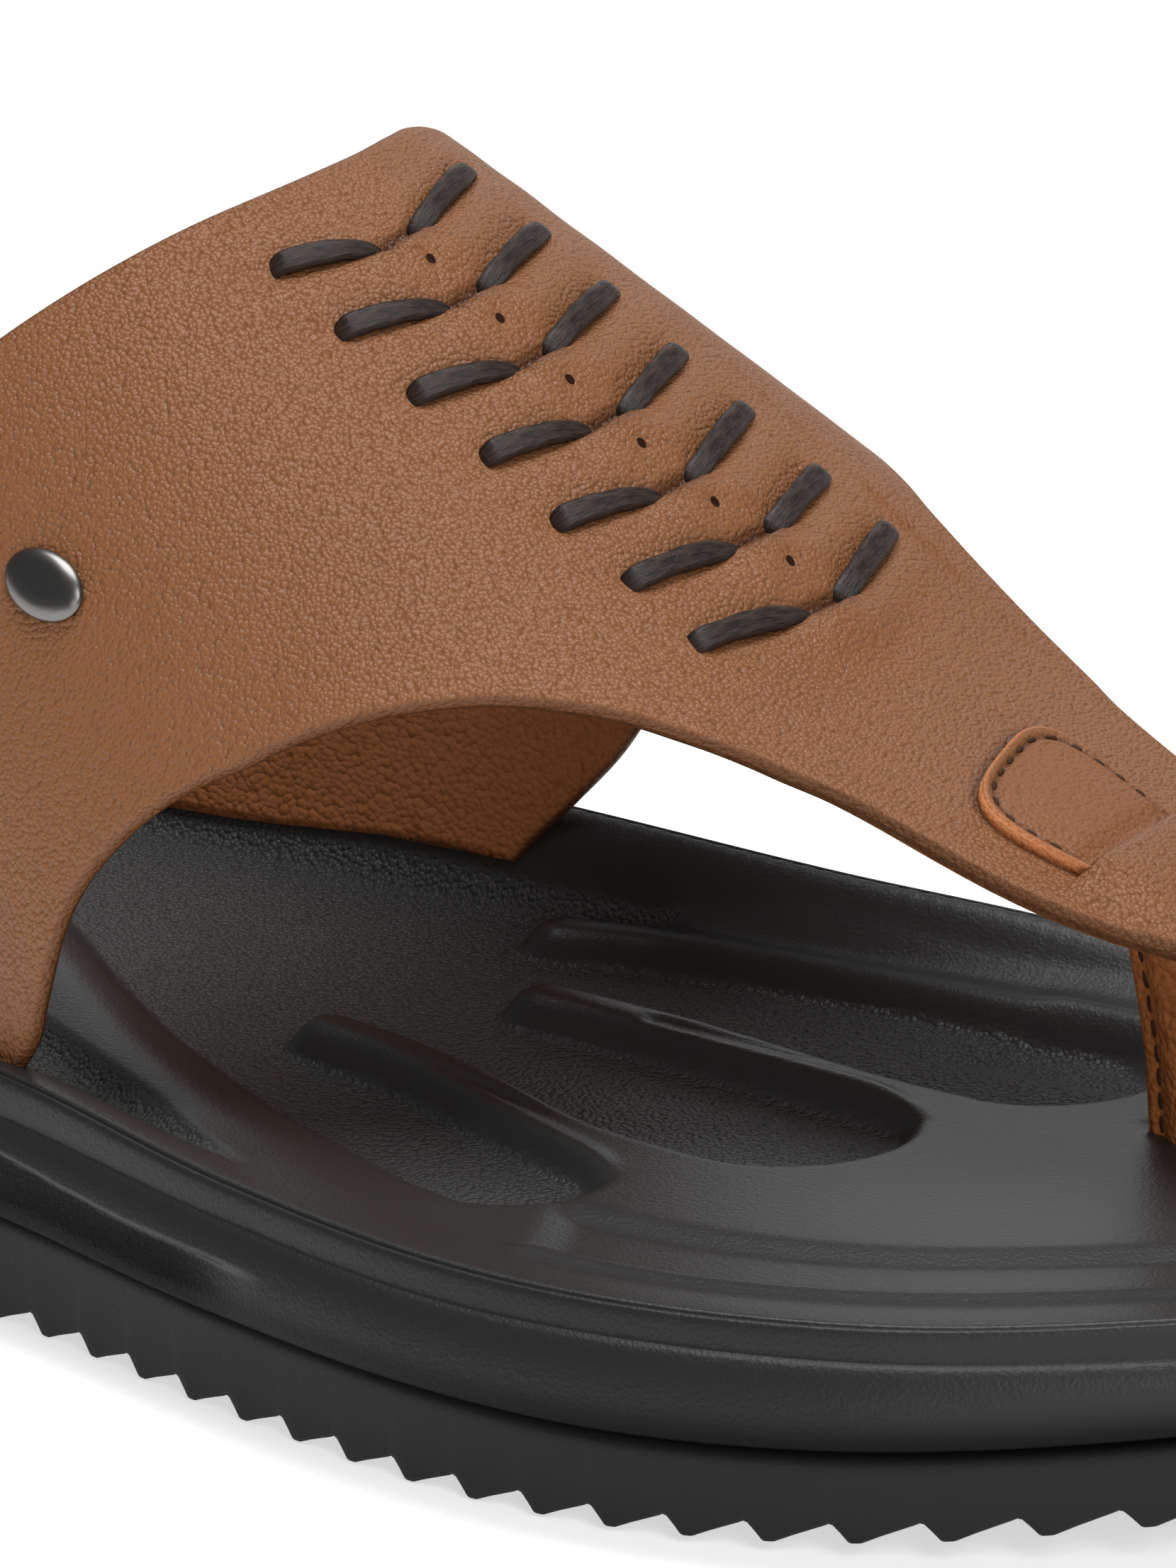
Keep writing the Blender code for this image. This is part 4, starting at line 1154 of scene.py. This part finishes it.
def arithmetic(tree, operation, first, second, clamp=False):
    """A Math node on two sockets or numbers; gives its output socket."""
    node = tree.nodes.new("ShaderNodeMath")
    node.operation = operation
    node.use_clamp = clamp
    for slot, value in enumerate((first, second)):
        if isinstance(value, (int, float)):
            node.inputs[slot].default_value = value
        else:
            tree.links.new(value, node.inputs[slot])
    return node.outputs[0]


def blend_colours(tree, share, first, second):
    """A colour mix of two colours or sockets by a share; gives its output socket."""
    node = tree.nodes.new("ShaderNodeMix")
    node.data_type = "RGBA"
    tree.links.new(share, node.inputs["Factor"])
    for name, value in (("A", first), ("B", second)):
        socket = [s for s in node.inputs if s.name == name and s.type == "RGBA"][0]
        if isinstance(value, tuple):
            socket.default_value = (*value, 1.0)
        else:
            tree.links.new(value, socket)
    return [s for s in node.outputs if s.type == "RGBA"][0]


def pebbles(tree, coordinates, cells_per_metre, drift):
    """Leather grain: domes, 1 less the square of the way from a cell's middle, pulled about by a noise."""
    noise = add_node(tree, "ShaderNodeTexNoise", Vector=coordinates, Scale=cells_per_metre * 0.35, Detail=2.0)
    shifted = add_node(tree, "ShaderNodeVectorMath", operation="MULTIPLY_ADD")
    shifted.inputs[1].default_value = (drift, drift, drift)
    tree.links.new(noise.outputs["Color"], shifted.inputs[0])
    tree.links.new(coordinates, shifted.inputs[2])
    cells = add_node(tree, "ShaderNodeTexVoronoi", Vector=shifted.outputs[0], Scale=cells_per_metre)
    away = arithmetic(tree, "POWER", cells.outputs["Distance"], 2.0, clamp=True)
    pebble = arithmetic(tree, "SUBTRACT", 1.0, away)
    uneven = arithmetic(tree, "MULTIPLY", noise.outputs["Fac"], 0.5)
    return arithmetic(tree, "ADD", pebble, uneven), pebble


def put_bump(tree, shader, height, distance, strength):
    """A Bump node on the shader's normal."""
    node = add_node(tree, "ShaderNodeBump", Height=height, Strength=strength, Distance=distance)
    tree.links.new(node.outputs["Normal"], shader.inputs["Normal"])


def grain_leather(name, light, dark, fold, raw, cells_per_metre, roughness, depth, specular=0.4):
    """Pebbled leather: grain, a drift of tone, creases between pebbles painted darker as shade, painted shade
    in folds and grooves from one attribute, and the raw edges' own colour from another.
    """
    finish, tree, shader = new_finish(name, light, roughness, specular=specular)
    where = tree.nodes.new("ShaderNodeTexCoord").outputs["Object"]
    height, pebble = pebbles(tree, where, cells_per_metre, 0.0006)
    drift = add_node(tree, "ShaderNodeTexNoise", Vector=where, Scale=45.0, Detail=3.0)
    tone = arithmetic(tree, "MULTIPLY", drift.outputs["Fac"], 0.4)
    # Painted shade: the colour darkens in the creases between the pebbles.
    crease = arithmetic(tree, "MULTIPLY", arithmetic(tree, "SUBTRACT", 1.0, pebble), 0.6)
    tone = arithmetic(tree, "ADD", tone, crease, clamp=True)
    colour = blend_colours(tree, tone, light, dark)
    # The fold tint is painted shade; the raw edge tint is the cut edges' own colour.
    for attribute, tint in (("fold", fold), ("raw_edge", raw)):
        reader = add_node(tree, "ShaderNodeAttribute", attribute_name=attribute)
        colour = blend_colours(tree, reader.outputs["Fac"], colour, tint)
    tree.links.new(colour, shader.inputs["Base Color"])
    put_bump(tree, shader, height, depth, 0.85)
    return finish


def lace_leather(name):
    """Waxed dark lacing: lighter and darker streaks along the bar from its own map."""
    finish, tree, shader = new_finish(name, (0.03, 0.022, 0.019), 0.4, specular=0.3)
    where = tree.nodes.new("ShaderNodeUVMap").outputs["UV"]
    along = add_node(tree, "ShaderNodeMapping", Vector=where, Scale=(5.0, 34.0, 1.0)).outputs[0]
    streak = add_node(tree, "ShaderNodeTexNoise", Vector=along, Scale=1.0, Detail=5.0, Roughness=0.65)
    share = arithmetic(tree, "SUBTRACT", streak.outputs["Fac"], 0.42)
    share = arithmetic(tree, "MULTIPLY", share, 2.6, clamp=True)
    colour = blend_colours(tree, share, (0.006, 0.0032, 0.0022), (0.078, 0.043, 0.031))
    tree.links.new(colour, shader.inputs["Base Color"])
    put_bump(tree, shader, streak.outputs["Fac"], 0.0004, 0.6)
    return finish


def moulded_foam(name, colour, roughness, specular, grained=False, shades_lower_wall=False):
    """Black moulded foam: satin, with a leather-like grain and a base painted lighter as light where an
    attribute asks for it, and painted shade, a darker base with less shine, low on the wall where another
    attribute asks for it.
    """
    finish, tree, shader = new_finish(name, colour, roughness, specular=specular)
    where = tree.nodes.new("ShaderNodeTexCoord").outputs["Object"]
    fine = add_node(tree, "ShaderNodeTexNoise", Vector=where, Scale=2600.0, Detail=2.0)
    height = arithmetic(tree, "MULTIPLY", fine.outputs["Fac"], 0.12)
    if grained:
        pebble, _ = pebbles(tree, where, 1900.0, 0.0005)
        mask = add_node(tree, "ShaderNodeAttribute", attribute_name="grain").outputs["Fac"]
        # Painted light: grained areas get a lighter base, standing in for light that does not reach the palm
        # under the vamp.
        painted_light_tone = tuple(2.1 * channel for channel in colour)
        tree.links.new(blend_colours(tree, mask, colour, painted_light_tone), shader.inputs["Base Color"])
        pebble = arithmetic(tree, "SUBTRACT", pebble, 0.95)
        height = arithmetic(tree, "ADD", height, arithmetic(tree, "MULTIPLY", pebble, mask))
        rough = arithmetic(tree, "MULTIPLY_ADD", mask, 0.06)
        rough.node.inputs[2].default_value = roughness
        tree.links.new(rough, shader.inputs["Roughness"])
    # Painted shade low on the wall: the base darkens to a fifth of its colour and the shine fades out.
    if shades_lower_wall:
        lower_wall_shade = add_node(tree, "ShaderNodeAttribute", attribute_name="lower_wall_shade").outputs["Fac"]
        shade = tuple(0.2 * channel for channel in colour)
        tree.links.new(blend_colours(tree, lower_wall_shade, colour, shade), shader.inputs["Base Color"])
        shine = arithmetic(tree, "MULTIPLY_ADD", lower_wall_shade, -0.95 * specular)
        shine.node.inputs[2].default_value = specular
        tree.links.new(shine, shader.inputs["Specular IOR Level"])
    put_bump(tree, shader, height, 0.0006, 0.8)
    return finish


def add_light(name, place, aim, size, power):
    """A white area light at a place, facing a point; sizes in millimetres."""
    light = bpy.data.lights.new(name, "AREA")
    light.shape = "RECTANGLE"
    light.size = size[0] * MILLIMETRE
    light.size_y = size[1] * MILLIMETRE
    light.energy = power
    lamp = bpy.data.objects.new(name, light)
    lamp.location = Vector(place) * MILLIMETRE
    direction = Vector(aim) - Vector(place)
    lamp.rotation_mode = "QUATERNION"
    lamp.rotation_quaternion = direction.to_track_quat("-Z", "Y")
    bpy.context.scene.collection.objects.link(lamp)


def add_studio():
    """Pale floor, a large soft light overhead, weaker ones behind and in front, and a dim world."""
    size = 6.0
    mesh = bpy.data.meshes.new("floor")
    corners = [(-size, -size, 0), (size, -size, 0), (size, size, 0), (-size, size, 0)]
    mesh.from_pydata(corners, [], [(0, 1, 2, 3)])
    finish, _, shader = new_finish("floor_white", (0.95, 0.95, 0.95), 0.9, specular=0.0)
    shader.inputs["Emission Color"].default_value = (1.0, 1.0, 1.0, 1.0)
    shader.inputs["Emission Strength"].default_value = 0.6
    mesh.materials.append(finish)
    floor = bpy.data.objects.new("floor", mesh)
    floor.location = (0, 0, -0.0002)
    bpy.context.scene.collection.objects.link(floor)
    for row in LIGHTS:
        add_light(*row)
    world = bpy.data.worlds.new("studio")
    world.use_nodes = True
    world.node_tree.nodes["Background"].inputs["Color"].default_value = (1.0, 1.0, 1.0, 1.0)
    world.node_tree.nodes["Background"].inputs["Strength"].default_value = 0.14
    bpy.context.scene.world = world


def add_camera():
    """Camera at the photograph's angle: it looks at a floor point from AZIMUTH and ELEVATION."""
    a = np.radians(AZIMUTH)
    e = np.radians(ELEVATION)
    back = Vector((np.sin(a) * np.cos(e), -np.cos(a) * np.cos(e), np.sin(e)))
    data = bpy.data.cameras.new("camera")
    data.sensor_width = SENSOR
    data.lens = SENSOR * FOCAL_SHARE
    data.clip_start = 0.01
    data.clip_end = 50.0
    camera = bpy.data.objects.new("camera", data)
    aim = Vector(CAMERA_AIM) - Vector(FRAME_MIDDLE)
    camera.location = (aim + back * CAMERA_AWAY) * MILLIMETRE
    camera.rotation_mode = "QUATERNION"
    camera.rotation_quaternion = (-back).to_track_quat("-Z", "Y")
    bpy.context.scene.collection.objects.link(camera)
    bpy.context.scene.camera = camera


def main():
    # Each leather's third colour is the painted shade for folds, its fourth the raw edges' own colour.
    tan = grain_leather(
        "tan_grain_leather", (0.262, 0.106, 0.041), (0.176, 0.069, 0.025), (0.05, 0.015, 0.004),
        (0.10, 0.036, 0.012), 2200.0, 0.4, 0.00025, 0.28,
    )
    lining = grain_leather(
        "lining_leather", (0.42, 0.157, 0.053), (0.29, 0.104, 0.032), (0.1, 0.03, 0.01),
        (0.10, 0.036, 0.012), 1500.0, 0.6, 0.00026, 0.2,
    )
    strap = grain_leather(
        "strap_leather", (0.25, 0.098, 0.036), (0.19, 0.070, 0.024), (0.05, 0.016, 0.005),
        (0.46, 0.165, 0.058), 2100.0, 0.45, 0.00017, 0.25,
    )
    post = grain_leather(
        "post_leather", (0.53, 0.178, 0.050), (0.33, 0.105, 0.027), (0.1, 0.03, 0.01),
        (0.30, 0.105, 0.034), 1300.0, 0.5, 0.0003, 0.25,
    )
    lacing = lace_leather("waxed_lacing")
    thread, _, _ = new_finish("dark_thread", (0.05, 0.019, 0.008), 0.6, specular=0.2)
    # Painted shade for the pricks' holes.
    hole, _, _ = new_finish("prick_shade", (0.02, 0.007, 0.003), 0.9, specular=0.1)
    rubber = moulded_foam("black_rubber", (0.016, 0.016, 0.0155), 0.55, 0.14)
    wall = moulded_foam("black_wall_foam", (0.0175, 0.0173, 0.0167), 0.4, 0.26, shades_lower_wall=True)
    insole = moulded_foam("black_footbed_foam", (0.026, 0.0264, 0.0267), 0.38, 0.27, grained=True)
    metal, _, _ = new_finish("brushed_stud", (0.17, 0.165, 0.16), 0.3, metallic=1.0)
    add_tread(rubber)
    add_midsole(wall)
    add_footbed(insole)
    add_vamp(tan, lining)
    add_toe_post(post, thread)
    add_post_tab(strap, thread)
    add_lacing(lacing)
    add_pricks(hole)
    add_stud(metal)
    add_studio()
    add_camera()
    bpy.context.scene.view_settings.view_transform = "Standard"


main()
